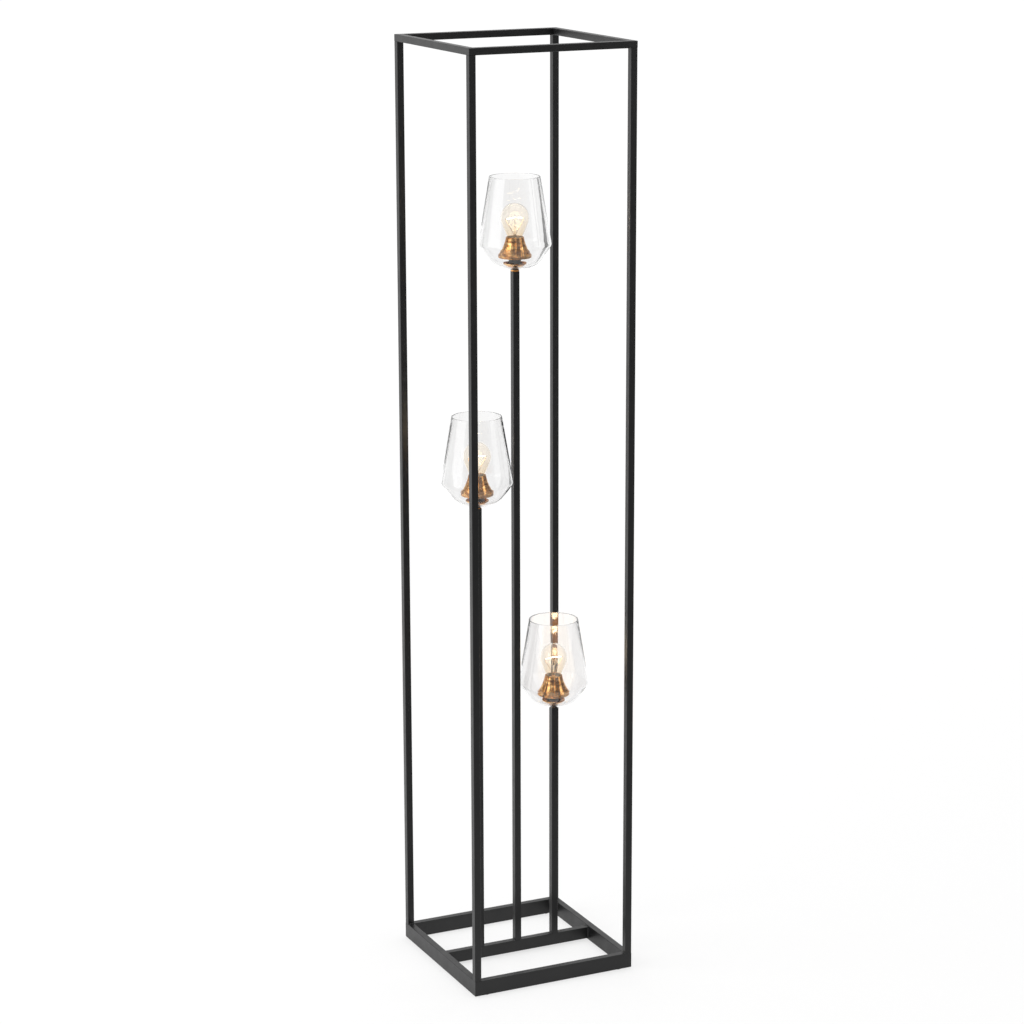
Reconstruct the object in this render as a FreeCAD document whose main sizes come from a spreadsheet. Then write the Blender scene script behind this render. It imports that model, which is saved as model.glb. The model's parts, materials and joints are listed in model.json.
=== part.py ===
import FreeCAD, Part
import Sketcher

import math
import os
import re

# Floor lamp: a tall welded cage of slim square tube that stands on a base ring of taller flat
# tube. A cross bar in the base carries three square lamp posts of three heights, and each post
# carries a clear tulip glass with a brass cup, a lampholder, a flared brass cone and a clear
# golf-ball bulb. Millimetres, +Z up, origin under the middle of the base, lamps side by side
# along X, front towards -Y.

SIZES = {
    # cage: overall size and its square tube
    "frame_width": 280,
    "frame_depth": 280,
    "frame_height": 1500,
    "tube_side": 11,
    "tube_wall": 1,
    "tube_corner": 0.8,
    # base ring and cross bar
    "base_tall": 25,
    "base_wall": 1.2,
    "cross_tall": 20,
    # push-in glides under the base ring
    "glide_radius": 4,
    "glide_head": 1,
    "glide_stem_radius": 2,
    "glide_stem": 3.5,
    "glide_inset": 22,
    # lamps: spacing as a share of the width, and the height of each glass's underside
    "lamp_pitch_share": 0.24,
    "upper_seat": 1142,
    "middle_seat": 768,
    "lower_seat": 420,
    # post plug, brass collar and the hollow threaded nipple through the stack
    "plug_flange": 1.5,
    "plug_spigot": 10,
    "collar_radius": 6.2,
    "collar_top_radius": 8.2,
    "collar_tall": 3,
    "nipple_radius": 4,
    "nipple_bore": 2.75,
    "nipple_engaged": 9,
    "nipple_proud": 1.5,
    # clear silicone washers each side of the glass
    "washer_thick": 0.8,
    "washer_low_radius": 7.5,
    "washer_high_radius": 10,
    # tulip glass
    "glass_height": 145,
    "glass_hole": 5,
    "glass_base": 2.5,
    "bowl_radius": 40,
    "bowl_slope": 56,
    "belly_radius": 57.5,
    "belly_height": 38,
    "rim_radius": 40,
    "glass_wall": 2,
    "belly_round": 8,
    "rim_chamfer": 0.5,
    # pressed brass cup on the glass's floor
    "cup_floor_radius": 13,
    "cup_rim_radius": 18.5,
    "cup_tall": 6.5,
    "cup_sheet": 1,
    "cup_lip": 2,
    # thin hexagon lock nut
    "nut_flats": 12,
    "nut_tall": 4,
    # lampholder: screwed base cap and socket body, drawn in towards its foot
    "holder_foot_radius": 8.6,
    "holder_joint_radius": 10.4,
    "holder_shoulder": 4,
    "holder_radius": 12.5,
    "holder_base_tall": 7.7,
    "holder_base_floor": 3,
    "holder_base_wall": 2,
    "holder_spigot": 3,
    "holder_floor": 4,
    "holder_tall": 33.2,
    "holder_rim_radius": 12.9,
    "holder_rim_tall": 3,
    "wire_room_radius": 6.4,
    "wire_room_deep": 4.5,
    "socket_radius": 7.7,
    "mouth_radius": 9.4,
    "mouth_deep": 7.2,
    "mouth_flare": 4.2,
    "mouth_lip_radius": 12,
    # screw shell and centre contact in the socket
    "shell_sheet": 0.45,
    "shell_low": 4,
    "shell_tall": 16,
    "contact_wide": 5,
    "contact_long": 11,
    "contact_sheet": 0.4,
    "contact_rise": 0.8,
    "contact_ramp_share": 0.5,
    "contact_land_share": 0.25,
    # flared brass cone over the lampholder
    "cone_rim_radius": 26.3,
    "cone_band": 4,
    "cone_step": 0.4,
    "cone_tall": 31.5,
    "cone_top_radius": 14,
    "cone_sheet": 0.8,
    "cone_bow": 65,
    "cone_shelf_radius": 12.4,
    # clear golf-ball bulb with a small screw cap, measured up from its tip
    "bulb_gap": 0.2,
    "tip_radius": 2.2,
    "tip_tall": 1,
    "insulator_radius": 4.9,
    "insulator_tall": 4,
    "cap_radius": 6.9,
    "cap_sheet": 0.4,
    "cap_low": 3.5,
    "cap_top": 24.5,
    "cap_flare": 3.5,
    "cap_flare_radius": 8.6,
    "neck_low": 22.5,
    "neck_shoulder": 29,
    "neck_slope": 23.5,
    "ball_radius": 22.5,
    "ball_centre": 58.5,
    "bulb_wall": 0.8,
    # glass stem, lead wires and filament inside the bulb
    "stem_waist_radius": 3,
    "stem_waist": 31,
    "stem_rod_radius": 1.6,
    "stem_top": 45,
    "wire_radius": 0.35,
    "wire_straight": 3,
    "wire_spread": 15,
    "filament_radius": 0.5,
    "filament_height": 57,
    "filament_rise": 1.5,
    # wiring inside the tubes
    "block_long": 22,
    "block_wide": 7.6,
    "block_tall": 17,
    "well_radius": 1.9,
    "well_deep": 4,
    "well_pitch": 6.6,
    "lead_radius": 1.8,
    "lead_bend": 8,
    "lead_step": 5.1,
    "feed_radius": 2.5,
    "feed_bend": 6,
    "feed_end": 0.5,
    "wire_hole_radius": 3.6,
    # inlet bush where the mains lead enters the base
    "bush_lip_radius": 5,
    "bush_lip": 1.2,
    "bush_neck_radius": 3.7,
    "bush_catch_radius": 4.1,
    "bush_catch": 1.5,
    "bush_bore": 2.9,
    # clearances
    "play": 0.1,
    "thread_play": 0.05,
    "overrun": 5,
}

# Heights above the floor, as sums of the driving sizes.
BASE_TOP = "(glide_head + base_tall)"
BASE_MIDDLE = "(glide_head + base_tall / 2)"
CROSS_TOP = "(glide_head + base_tall / 2 + cross_tall / 2)"
CROSS_FLOOR = "(glide_head + base_tall / 2 - cross_tall / 2 + base_wall)"

# Heights in one lamp, measured up from the underside of its glass.
COLLAR_FOOT = "(-washer_thick - collar_tall)"
POST_TOP = "(-washer_thick - collar_tall - plug_flange)"
CUP_FOOT = "(glass_base + washer_thick)"
NUT_FOOT = "(glass_base + washer_thick + cup_sheet)"
HOLDER_FOOT = "(glass_base + washer_thick + cup_sheet + nut_tall)"
BODY_FOOT = f"({HOLDER_FOOT} + holder_base_tall)"
BODY_TOP = f"({BODY_FOOT} + holder_tall)"
SOCKET_FLOOR = f"({BODY_FOOT} + holder_floor)"
WIRE_ROOM_FOOT = f"({BODY_FOOT} - holder_spigot)"
WIRE_ROOM_TOP = f"({WIRE_ROOM_FOOT} + wire_room_deep)"
BULB_FOOT = f"({SOCKET_FLOOR} + contact_rise + bulb_gap)"
CONE_TOP = f"({BODY_TOP} + cone_sheet)"
CONE_FOOT = f"({CONE_TOP} - cone_tall)"
NIPPLE_TOP = f"({HOLDER_FOOT} + holder_base_floor + nipple_proud)"

# Middle lines of the side bars and of the front and rear bars, and from post to post.
BAR_X = "(frame_width / 2 - tube_side / 2)"
BAR_Y = "(frame_depth / 2 - tube_side / 2)"
LAMP_PITCH = "(frame_width * lamp_pitch_share)"

LAMPS = {
    "upper": ("0", "upper_seat"),
    "middle": (f"-{LAMP_PITCH}", "middle_seat"),
    "lower": (LAMP_PITCH, "lower_seat"),
}

# Turns about the vertical that bring a bar's outer side, its local -Y, to each side of the cage.
FRONT = 0
RIGHT_SIDE = 90
REAR = 180
LEFT_SIDE = -90

FULL_TURN = 360
NUT_SIDES = 6
LEFT = 1
RIGHT = -1
SAME = 1e-6

doc = FreeCAD.newDocument("floor_lamp")
sheet = doc.addObject("Spreadsheet::Sheet", "Sizes")
for row, (alias, number) in enumerate(SIZES.items(), start=1):
    sheet.set(f"A{row}", alias)
    sheet.set(f"B{row}", str(number))
    sheet.setAlias(f"B{row}", alias)
doc.recompute()

nodes = []


def bound(text):
    """The text with each size's name written as a reference to its cell."""
    return re.sub(r"[a-z_]+", lambda m: f"Sizes.{m[0]}" if m[0] in SIZES else m[0], text)


def value(text):
    """What the text is worth with the sizes as they stand."""
    return float(sheet.evalExpression(bound(text)))


def new_body(label):
    body = doc.addObject("PartDesign::Body", label)
    body.Label = label
    return body


def node(piece):
    """Notes a finished piece as one of those that get a file."""
    nodes.append(piece)
    return piece


def place(body, x="0", y="0", z="0", turn=0):
    """Turns a body about the vertical and binds its position to the sheet."""
    body.Placement = FreeCAD.Placement(
        FreeCAD.Vector(), FreeCAD.Rotation(FreeCAD.Vector(0, 0, 1), turn)
    )
    for axis, text in zip("xyz", (x, y, z)):
        body.setExpression(f"Placement.Base.{axis}", bound(text))
    return body


def new_sketch(body, role, offset="0"):
    """A sketch on one of the body's own origin planes, lifted off it by the offset."""
    drawing = body.newObject("Sketcher::SketchObject", f"{body.Label}_sketch")
    plane = next(f for f in body.Origin.OriginFeatures if f.Role == role)
    drawing.AttachmentSupport = (plane, [""])
    drawing.MapMode = "FlatFace"
    drawing.setExpression("AttachmentOffset.Base.z", bound(offset))
    return drawing


def pin_point(drawing, geometry, end, x, y):
    """Ties one point of a sketch to a place worked out from the sheet."""
    for kind, text, axis in (("DistanceX", x, -2), ("DistanceY", y, -1)):
        number = value(text)
        if number == 0:
            drawing.addConstraint(Sketcher.Constraint("PointOnObject", geometry, end, axis))
            continue
        added = drawing.addConstraint(Sketcher.Constraint(kind, -1, 1, geometry, end, number))
        drawing.setExpression(f"Constraints[{added}]", bound(text))


def add_line(drawing, start, end):
    segment = Part.LineSegment(FreeCAD.Vector(*start), FreeCAD.Vector(*end))
    return drawing.addGeometry(segment, False), 1, 2


def add_arc(drawing, start, end, radius, side):
    """A minor arc with its centre to the left or right of the way from start to end."""
    size = value(radius)
    reach = math.dist(start, end)
    rise = side * math.sqrt(size**2 - (reach / 2) ** 2) / reach
    centre = FreeCAD.Vector(
        (start[0] + end[0]) / 2 - rise * (end[1] - start[1]),
        (start[1] + end[1]) / 2 + rise * (end[0] - start[0]),
    )
    first, last = (start, end) if side == LEFT else (end, start)
    angles = [math.atan2(p[1] - centre.y, p[0] - centre.x) for p in (first, last)]
    circle = Part.Circle(centre, FreeCAD.Vector(0, 0, 1), size)
    added = drawing.addGeometry(Part.ArcOfCircle(circle, *angles), False)
    held = drawing.addConstraint(Sketcher.Constraint("Radius", added, size))
    drawing.setExpression(f"Constraints[{held}]", bound(radius))
    return (added, 1, 2) if side == LEFT else (added, 2, 1)


def outline(drawing, corners, closed=True):
    """Joins corners (x, y) with lines, or with an arc after a corner (x, y, radius, side)."""
    places = [(value(c[0]), value(c[1])) for c in corners]
    count = len(corners) if closed else len(corners) - 1
    edges = []
    for i in range(count):
        start, end = places[i], places[(i + 1) % len(places)]
        if len(corners[i]) > 2:
            edges.append(add_arc(drawing, start, end, *corners[i][2:]))
        else:
            edges.append(add_line(drawing, start, end))
    for i, (edge, first, last) in enumerate(edges):
        if closed or i + 1 < count:
            following = edges[(i + 1) % count]
            drawing.addConstraint(
                Sketcher.Constraint("Coincident", edge, last, following[0], following[1])
            )
        pin_point(drawing, edge, first, *corners[i][:2])
    if not closed:
        pin_point(drawing, edges[-1][0], edges[-1][2], *corners[-1][:2])
    return drawing


def circle(drawing, radius, x="0", y="0"):
    centre = FreeCAD.Vector(value(x), value(y))
    added = drawing.addGeometry(Part.Circle(centre, FreeCAD.Vector(0, 0, 1), value(radius)), False)
    held = drawing.addConstraint(Sketcher.Constraint("Radius", added, value(radius)))
    drawing.setExpression(f"Constraints[{held}]", bound(radius))
    pin_point(drawing, added, 3, x, y)
    return drawing


def rectangle(drawing, wide, tall):
    x, y = f"({wide}) / 2", f"({tall}) / 2"
    return outline(drawing, [(f"-{x}", f"-{y}"), (x, f"-{y}"), (x, y), (f"-{x}", y)])


def rounded_rectangle(drawing, wide, tall, corner):
    x, y = f"({wide}) / 2", f"({tall}) / 2"
    flat_x, flat_y = f"({x} - {corner})", f"({y} - {corner})"
    return outline(
        drawing,
        [
            (f"-{flat_x}", f"-{y}"),
            (flat_x, f"-{y}", corner, LEFT),
            (x, f"-{flat_y}"),
            (x, flat_y, corner, LEFT),
            (flat_x, y),
            (f"-{flat_x}", y, corner, LEFT),
            (f"-{x}", flat_y),
            (f"-{x}", f"-{flat_y}", corner, LEFT),
        ],
    )


def pad(body, drawing, length, side="One side"):
    feature = body.newObject("PartDesign::Pad", f"{body.Label}_pad")
    feature.Profile = drawing
    feature.SideType = side
    feature.setExpression("Length", bound(length))
    return feature


def turn_solid(body, drawing):
    feature = body.newObject("PartDesign::Revolution", f"{body.Label}_turned")
    feature.Profile = drawing
    feature.ReferenceAxis = (drawing, ["V_Axis"])
    feature.Angle = FULL_TURN
    return feature


def pocket(body, drawing, depth, side="One side", reverse=False):
    """Cuts a sketch into a body, and stops if the cut takes nothing away."""
    doc.recompute()
    before = body.Shape.Volume
    feature = body.newObject("PartDesign::Pocket", f"{body.Label}_pocket")
    feature.Profile = drawing
    feature.SideType = side
    feature.Reversed = reverse
    feature.setExpression("Length", bound(depth))
    doc.recompute()
    if body.Shape.Volume >= before:
        raise ValueError(f"{body.Label}: a pocket cuts nothing")
    return feature


def round_rings(body, feature, radius, x, z):
    """Rounds the circular edge of a turned body that passes through radius x at height z."""
    doc.recompute()
    found = [
        f"Edge{i}"
        for i, edge in enumerate(feature.Shape.Edges, start=1)
        if isinstance(edge.Curve, Part.Circle)
        and math.isclose(edge.Curve.Radius, value(x), abs_tol=SAME)
        and math.isclose(edge.Curve.Center.z, value(z), abs_tol=SAME)
    ]
    rounded = body.newObject("PartDesign::Fillet", f"{body.Label}_round")
    rounded.Base = (feature, found)
    rounded.setExpression("Radius", bound(radius))
    doc.recompute()
    return rounded


def turned(label, corners):
    """A body turned about the vertical from corners (radius, height)."""
    body = new_body(label)
    turn_solid(body, outline(new_sketch(body, "XZ_Plane"), corners))
    return body


def ring(label, inner, outer, low, high):
    """A plain turned ring between two radii and two heights."""
    return turned(label, [(inner, low), (outer, low), (outer, high), (inner, high)])


def piped(label, plane, path, start_plane, start_at, radius):
    """A round wire or cable along a flat path of lines and arcs. A plane is a role and an offset."""
    body = new_body(label)
    route = outline(new_sketch(body, *plane), path, closed=False)
    section = circle(new_sketch(body, *start_plane), radius, *start_at)
    feature = body.newObject("PartDesign::AdditivePipe", f"{label}_pipe")
    feature.Profile = section
    feature.Spine = (route, [f"Edge{i + 1}" for i in range(len(path) - 1)])
    feature.Transition = "Right corner"
    doc.recompute()
    length = sum(edge.Length for edge in route.Shape.Edges)
    share = body.Shape.Volume / (math.pi * value(radius) ** 2 * length)
    print(f"{label}: length {length:.1f} mm, volume over section times length {share:.4f}")
    return body


def group(label, pieces):
    """One piece for the files, made of like solids that stay separate."""
    joined = doc.addObject("Part::Compound", label)
    joined.Label = label
    joined.Links = pieces
    return node(joined)


def tube(label, role, wide, tall, wall, length, side):
    """A square tube with rounded outer corners."""
    body = new_body(label)
    section = rounded_rectangle(new_sketch(body, role), wide, tall, "tube_corner")
    rectangle(section, f"{wide} - 2 * {wall}", f"{tall} - 2 * {wall}")
    pad(body, section, length, side)
    return body


def mitre(body, length, tall):
    """Cuts both ends of a bar along X at 45 degrees, with its long side towards -Y."""
    drawing = new_sketch(body, "XY_Plane")
    end, half = f"({length} / 2)", "(tube_side / 2)"
    for sign in ("", "-"):
        outer = f"{sign}({end} + overrun)"
        inner = f"{sign}({end} - tube_side - overrun)"
        corners = [
            (outer, f"-({half} + overrun)"),
            (outer, f"{half} + overrun"),
            (inner, f"{half} + overrun"),
        ]
        outline(drawing, corners if sign == "" else corners[::-1])
    pocket(body, drawing, f"{tall} + 2 * overrun", "Symmetric")


def base_bar(label, length, x, y, turn):
    body = tube(label, "YZ_Plane", "tube_side", "base_tall", "base_wall", length, "Symmetric")
    mitre(body, length, "base_tall")
    return node(place(body, x, y, BASE_MIDDLE, turn))


def glide_holes(body):
    """Two holes through the lower wall of a base bar, for the glides' stems."""
    drawing = new_sketch(body, "XY_Plane", "-base_tall / 2")
    for sign in ("", "-"):
        circle(drawing, "glide_stem_radius + play", f"{sign}(frame_width / 2 - glide_inset)")
    pocket(body, drawing, "base_wall + play", reverse=True)


def make_base():
    """The base ring, its cross bar and the glides under it."""
    front = base_bar("base_front_bar", "frame_width", "0", f"-{BAR_Y}", FRONT)
    rear = base_bar("base_rear_bar", "frame_width", "0", BAR_Y, REAR)
    right = base_bar("base_right_bar", "frame_depth", BAR_X, "0", RIGHT_SIDE)
    base_bar("base_left_bar", "frame_depth", f"-{BAR_X}", "0", LEFT_SIDE)
    for bar in (front, rear):
        glide_holes(bar)
    inlet_hole = circle(new_sketch(rear, "XZ_Plane"), "bush_neck_radius + play", f"-{BAR_X}")
    pocket(rear, inlet_hole, "tube_side / 2 + play", reverse=True)
    feed_hole = circle(new_sketch(right, "XZ_Plane"), "wire_hole_radius")
    pocket(right, feed_hole, "tube_side / 2 + play")

    cross_long = "frame_width - 2 * tube_side"
    cross = tube(
        "base_cross_bar", "YZ_Plane", "tube_side", "cross_tall", "base_wall", cross_long, "Symmetric"
    )
    post_holes = new_sketch(cross, "XY_Plane", "cross_tall / 2")
    for x, _ in LAMPS.values():
        circle(post_holes, "wire_hole_radius", x)
    pocket(cross, post_holes, "base_wall + play")
    node(place(cross, z=BASE_MIDDLE))

    stem_top = "glide_head + base_wall + glide_stem"
    glides = []
    for sx in ("", "-"):
        for sy in ("", "-"):
            glide = turned(
                f"base_glide_{len(glides) + 1}",
                [
                    ("0", "0"),
                    ("glide_radius", "0"),
                    ("glide_radius", "glide_head"),
                    ("glide_stem_radius", "glide_head"),
                    ("glide_stem_radius", stem_top),
                    ("0", stem_top),
                ],
            )
            glides.append(place(glide, f"{sx}(frame_width / 2 - glide_inset)", f"{sy}{BAR_Y}"))
    group("base_glides", glides)


def make_cage():
    """The four uprights on the base ring and the mitred ring on top of them."""
    rise = f"frame_height - tube_side - {BASE_TOP}"
    corners = {
        "front_left": (f"-{BAR_X}", f"-{BAR_Y}"),
        "front_right": (BAR_X, f"-{BAR_Y}"),
        "rear_left": (f"-{BAR_X}", BAR_Y),
        "rear_right": (BAR_X, BAR_Y),
    }
    for corner, (x, y) in corners.items():
        upright = tube(
            f"upright_{corner}", "XY_Plane", "tube_side", "tube_side", "tube_wall", rise, "One side"
        )
        node(place(upright, x, y, BASE_TOP))
    bars = {
        "front": ("frame_width", "0", f"-{BAR_Y}", FRONT),
        "rear": ("frame_width", "0", BAR_Y, REAR),
        "right": ("frame_depth", BAR_X, "0", RIGHT_SIDE),
        "left": ("frame_depth", f"-{BAR_X}", "0", LEFT_SIDE),
    }
    for side, (length, x, y, turn) in bars.items():
        bar = tube(
            f"top_{side}_bar", "YZ_Plane", "tube_side", "tube_side", "tube_wall", length, "Symmetric"
        )
        mitre(bar, length, "tube_side")
        node(place(bar, x, y, "frame_height - tube_side / 2", turn))


def make_post(name, x, seat):
    """The hollow square post of one lamp, from the cross bar to its plug."""
    length = f"{seat} + {POST_TOP} - {CROSS_TOP}"
    post = tube(
        f"lamp_post_{name}", "XY_Plane", "tube_side", "tube_side", "tube_wall", length, "One side"
    )
    return node(place(post, x, z=CROSS_TOP))


def make_plug(name):
    """The square plug in the post's mouth, with a flange as wide as the post and a tapped bore."""
    body = new_body(f"post_plug_{name}")
    flange = new_sketch(body, "XY_Plane", POST_TOP)
    rounded_rectangle(flange, "tube_side", "tube_side", "tube_corner")
    pad(body, flange, "plug_flange")
    spigot = new_sketch(body, "XY_Plane", f"{POST_TOP} - plug_spigot")
    inside = "tube_side - 2 * tube_wall - 2 * play"
    rectangle(spigot, inside, inside)
    pad(body, spigot, "plug_spigot")
    bore = circle(new_sketch(body, "XY_Plane", COLLAR_FOOT), "nipple_radius + thread_play")
    pocket(body, bore, "plug_flange + plug_spigot + play")
    return body


def make_glass(name):
    """The tulip glass: a flat bottom, a bowl, a soft belly and walls that draw in to the rim."""
    slant = "(belly_radius - belly_height / tan(bowl_slope))"
    flat = f"({slant} - bowl_radius * tan(bowl_slope / 2))"
    floor = f"{flat} + sqrt((bowl_radius - glass_wall)^2 - (bowl_radius - glass_base)^2)"
    body = new_body(f"glass_shade_{name}")

    def touch(bend):
        return f"{flat} + {bend} * sin(bowl_slope)", f"bowl_radius - {bend} * cos(bowl_slope)"

    drawing = outline(
        new_sketch(body, "XZ_Plane"),
        [
            ("glass_hole", "0"),
            (flat, "0", "bowl_radius", LEFT),
            touch("bowl_radius"),
            ("belly_radius", "belly_height"),
            ("rim_radius", "glass_height - rim_chamfer"),
            ("rim_radius - rim_chamfer", "glass_height"),
            ("rim_radius - glass_wall + rim_chamfer", "glass_height"),
            ("rim_radius - glass_wall", "glass_height - rim_chamfer"),
            ("belly_radius - glass_wall", "belly_height"),
            (*touch("(bowl_radius - glass_wall)"), "bowl_radius - glass_wall", RIGHT),
            (floor, "glass_base"),
            ("glass_hole", "glass_base"),
        ],
    )
    shell = turn_solid(body, drawing)
    round_rings(body, shell, "belly_round", "belly_radius", "belly_height")
    return body


def make_cup(name):
    """The pressed brass cup that stands on the glass's floor around the lampholder's foot."""
    hole = "nipple_radius + play"
    rim = f"{CUP_FOOT} + cup_tall"
    return turned(
        f"brass_cup_{name}",
        [
            (hole, CUP_FOOT),
            ("cup_floor_radius", CUP_FOOT),
            ("cup_rim_radius", f"{rim} - cup_lip"),
            ("cup_rim_radius", rim),
            ("cup_rim_radius - cup_sheet", rim),
            ("cup_rim_radius - cup_sheet", f"{rim} - cup_lip + cup_sheet / 2"),
            ("cup_floor_radius - cup_sheet / 2", NUT_FOOT),
            (hole, NUT_FOOT),
        ],
    )


def make_nut(name):
    """The thin hexagon nut that clamps the cup, the glass and its washers."""
    body = new_body(f"lock_nut_{name}")
    drawing = new_sketch(body, "XY_Plane", NUT_FOOT)
    step = FULL_TURN / NUT_SIDES
    across = f"nut_flats / 2 / cos({step / 2})"
    corners = [
        (f"{across} * cos({i * step})", f"{across} * sin({i * step})") for i in range(NUT_SIDES)
    ]
    outline(drawing, corners)
    circle(drawing, "nipple_radius + thread_play")
    pad(body, drawing, "nut_tall")
    return body


def make_holder_base(name):
    """The lampholder's tapered base cap, screwed onto the nipple."""
    inner = "holder_joint_radius - holder_base_wall"
    bore = "nipple_radius + thread_play"
    return turned(
        f"holder_base_{name}",
        [
            (bore, HOLDER_FOOT),
            ("holder_foot_radius", HOLDER_FOOT),
            ("holder_joint_radius", BODY_FOOT),
            (inner, BODY_FOOT),
            (inner, f"{HOLDER_FOOT} + holder_base_floor"),
            (bore, f"{HOLDER_FOOT} + holder_base_floor"),
        ],
    )


def make_holder_body(name):
    """The lampholder's body: a spigot in the base cap, a room for the wires, and the socket."""
    spigot = "holder_joint_radius - holder_base_wall - play"
    return turned(
        f"holder_body_{name}",
        [
            ("wire_room_radius", WIRE_ROOM_FOOT),
            (spigot, WIRE_ROOM_FOOT),
            (spigot, BODY_FOOT),
            ("holder_joint_radius", BODY_FOOT),
            ("holder_radius", f"{BODY_FOOT} + holder_shoulder"),
            ("holder_radius", f"{BODY_TOP} - holder_rim_tall"),
            ("holder_rim_radius", f"{BODY_TOP} - holder_rim_tall"),
            ("holder_rim_radius", BODY_TOP),
            ("mouth_lip_radius", BODY_TOP),
            ("mouth_radius", f"{BODY_TOP} - mouth_flare"),
            ("mouth_radius", f"{BODY_TOP} - mouth_deep"),
            ("socket_radius", f"{BODY_TOP} - mouth_deep"),
            ("socket_radius", SOCKET_FLOOR),
            ("0", SOCKET_FLOOR),
            ("0", WIRE_ROOM_TOP),
            ("wire_room_radius", WIRE_ROOM_TOP),
        ],
    )


def make_screw_shell(name):
    """The thin brass sleeve that the bulb's cap screws into."""
    outer = "socket_radius - play"
    foot = f"{SOCKET_FLOOR} + shell_low"
    return ring(f"screw_shell_{name}", f"{outer} - shell_sheet", outer, foot, f"{foot} + shell_tall")


def make_contact(name):
    """The sprung centre contact: a strip with a raised middle on the socket's floor."""
    body = new_body(f"centre_contact_{name}")
    foot, crown = SOCKET_FLOOR, f"({SOCKET_FLOOR} + contact_rise)"
    end = "(contact_long / 2)"
    bend, land = f"({end} * contact_ramp_share)", f"({end} * contact_land_share)"
    under = f"({crown} - contact_sheet)"
    drawing = outline(
        new_sketch(body, "XZ_Plane"),
        [
            (f"-{end}", foot),
            (f"-{bend}", foot),
            (f"-{land}", under),
            (land, under),
            (bend, foot),
            (end, foot),
            (end, f"{foot} + contact_sheet"),
            (bend, f"{foot} + contact_sheet"),
            (land, crown),
            (f"-{land}", crown),
            (f"-{bend}", f"{foot} + contact_sheet"),
            (f"-{end}", f"{foot} + contact_sheet"),
        ],
    )
    pad(body, drawing, "contact_wide", "Symmetric")
    return body


def make_cone(name):
    """The flared brass cone: a band at its rim, hollow sides, and a shelf that hangs on the holder."""
    band = f"{CONE_FOOT} + cone_band"
    shelf = f"{CONE_TOP} - cone_sheet"
    return turned(
        f"brass_cone_{name}",
        [
            ("cone_rim_radius - cone_sheet", CONE_FOOT),
            ("cone_rim_radius", CONE_FOOT),
            ("cone_rim_radius", band),
            ("cone_rim_radius - cone_step", band, "cone_bow", RIGHT),
            ("cone_top_radius", CONE_TOP),
            ("cone_shelf_radius", CONE_TOP),
            ("cone_shelf_radius", shelf),
            ("cone_top_radius - cone_sheet", shelf, "cone_bow + cone_sheet", LEFT),
            ("cone_rim_radius - cone_step - cone_sheet", band),
            ("cone_rim_radius - cone_sheet", band),
        ],
    )


def make_lamp_stack(name, x, seat):
    """Everything that one post carries, apart from the bulb. Returns the small pieces by kind."""
    bore = "nipple_radius + play"
    collar = turned(
        f"brass_collar_{name}",
        [
            (bore, COLLAR_FOOT),
            ("collar_radius", COLLAR_FOOT),
            ("collar_top_radius", "-washer_thick"),
            (bore, "-washer_thick"),
        ],
    )
    glass, cup, cone = make_glass(name), make_cup(name), make_cone(name)
    holder_base, holder_body = make_holder_base(name), make_holder_body(name)
    for piece in (collar, glass, cup, holder_base, holder_body, cone):
        node(place(piece, x, z=seat))
    nipple_foot = f"{COLLAR_FOOT} - nipple_engaged"
    small = {
        "post_plugs": [make_plug(name)],
        "shade_washers": [
            ring(f"washer_low_{name}", bore, "washer_low_radius", "-washer_thick", "0"),
            ring(f"washer_high_{name}", bore, "washer_high_radius", "glass_base", CUP_FOOT),
        ],
        "threaded_nipples": [
            ring(f"nipple_{name}", "nipple_bore", "nipple_radius", nipple_foot, NIPPLE_TOP)
        ],
        "lock_nuts": [make_nut(name)],
        "screw_shells": [make_screw_shell(name)],
        "centre_contacts": [make_contact(name)],
    }
    for pieces in small.values():
        for piece in pieces:
            place(piece, x, z=seat)
    return small


def neck_radius(height):
    """The bulb glass's outer radius where it sits in the flare of its cap."""
    share = f"({height} - cap_top + cap_flare) / cap_flare"
    return f"(cap_radius + (cap_flare_radius - cap_radius) * {share} - cap_sheet - play)"


def make_bulb_glass(name):
    """The bulb's clear envelope: a short neck, a cone and the ball that it runs into."""
    inner_ball = "(ball_radius - bulb_wall)"

    def touch(ball):
        return f"({ball} * cos(neck_slope))", f"(ball_centre - {ball} * sin(neck_slope))"

    def cone_radius(ball):
        radius, level = touch(ball)
        return f"{radius} - tan(neck_slope) * ({level} - neck_shoulder)"

    return turned(
        f"bulb_glass_{name}",
        [
            (f"{neck_radius('neck_low')} - bulb_wall", "neck_low"),
            (neck_radius("neck_low"), "neck_low"),
            (neck_radius("cap_top"), "cap_top"),
            (cone_radius("ball_radius"), "neck_shoulder"),
            (*touch("ball_radius"), "ball_radius", LEFT),
            ("0", "ball_centre + ball_radius"),
            ("0", f"ball_centre + {inner_ball}", inner_ball, RIGHT),
            touch(inner_ball),
            (cone_radius(inner_ball), "neck_shoulder"),
            (f"{neck_radius('cap_top')} - bulb_wall", "cap_top"),
        ],
    )


def make_bulb_cap(name):
    """The bulb's small screw cap, a thin shell with a flared top, its thread left plain."""
    flare = "cap_top - cap_flare"
    hole = "insulator_radius + play"
    return turned(
        f"bulb_cap_{name}",
        [
            (hole, "cap_low"),
            ("cap_radius", "cap_low"),
            ("cap_radius", flare),
            ("cap_flare_radius", "cap_top"),
            ("cap_flare_radius - cap_sheet", "cap_top"),
            ("cap_radius - cap_sheet", flare),
            ("cap_radius - cap_sheet", "cap_low + cap_sheet"),
            (hole, "cap_low + cap_sheet"),
        ],
    )


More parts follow.
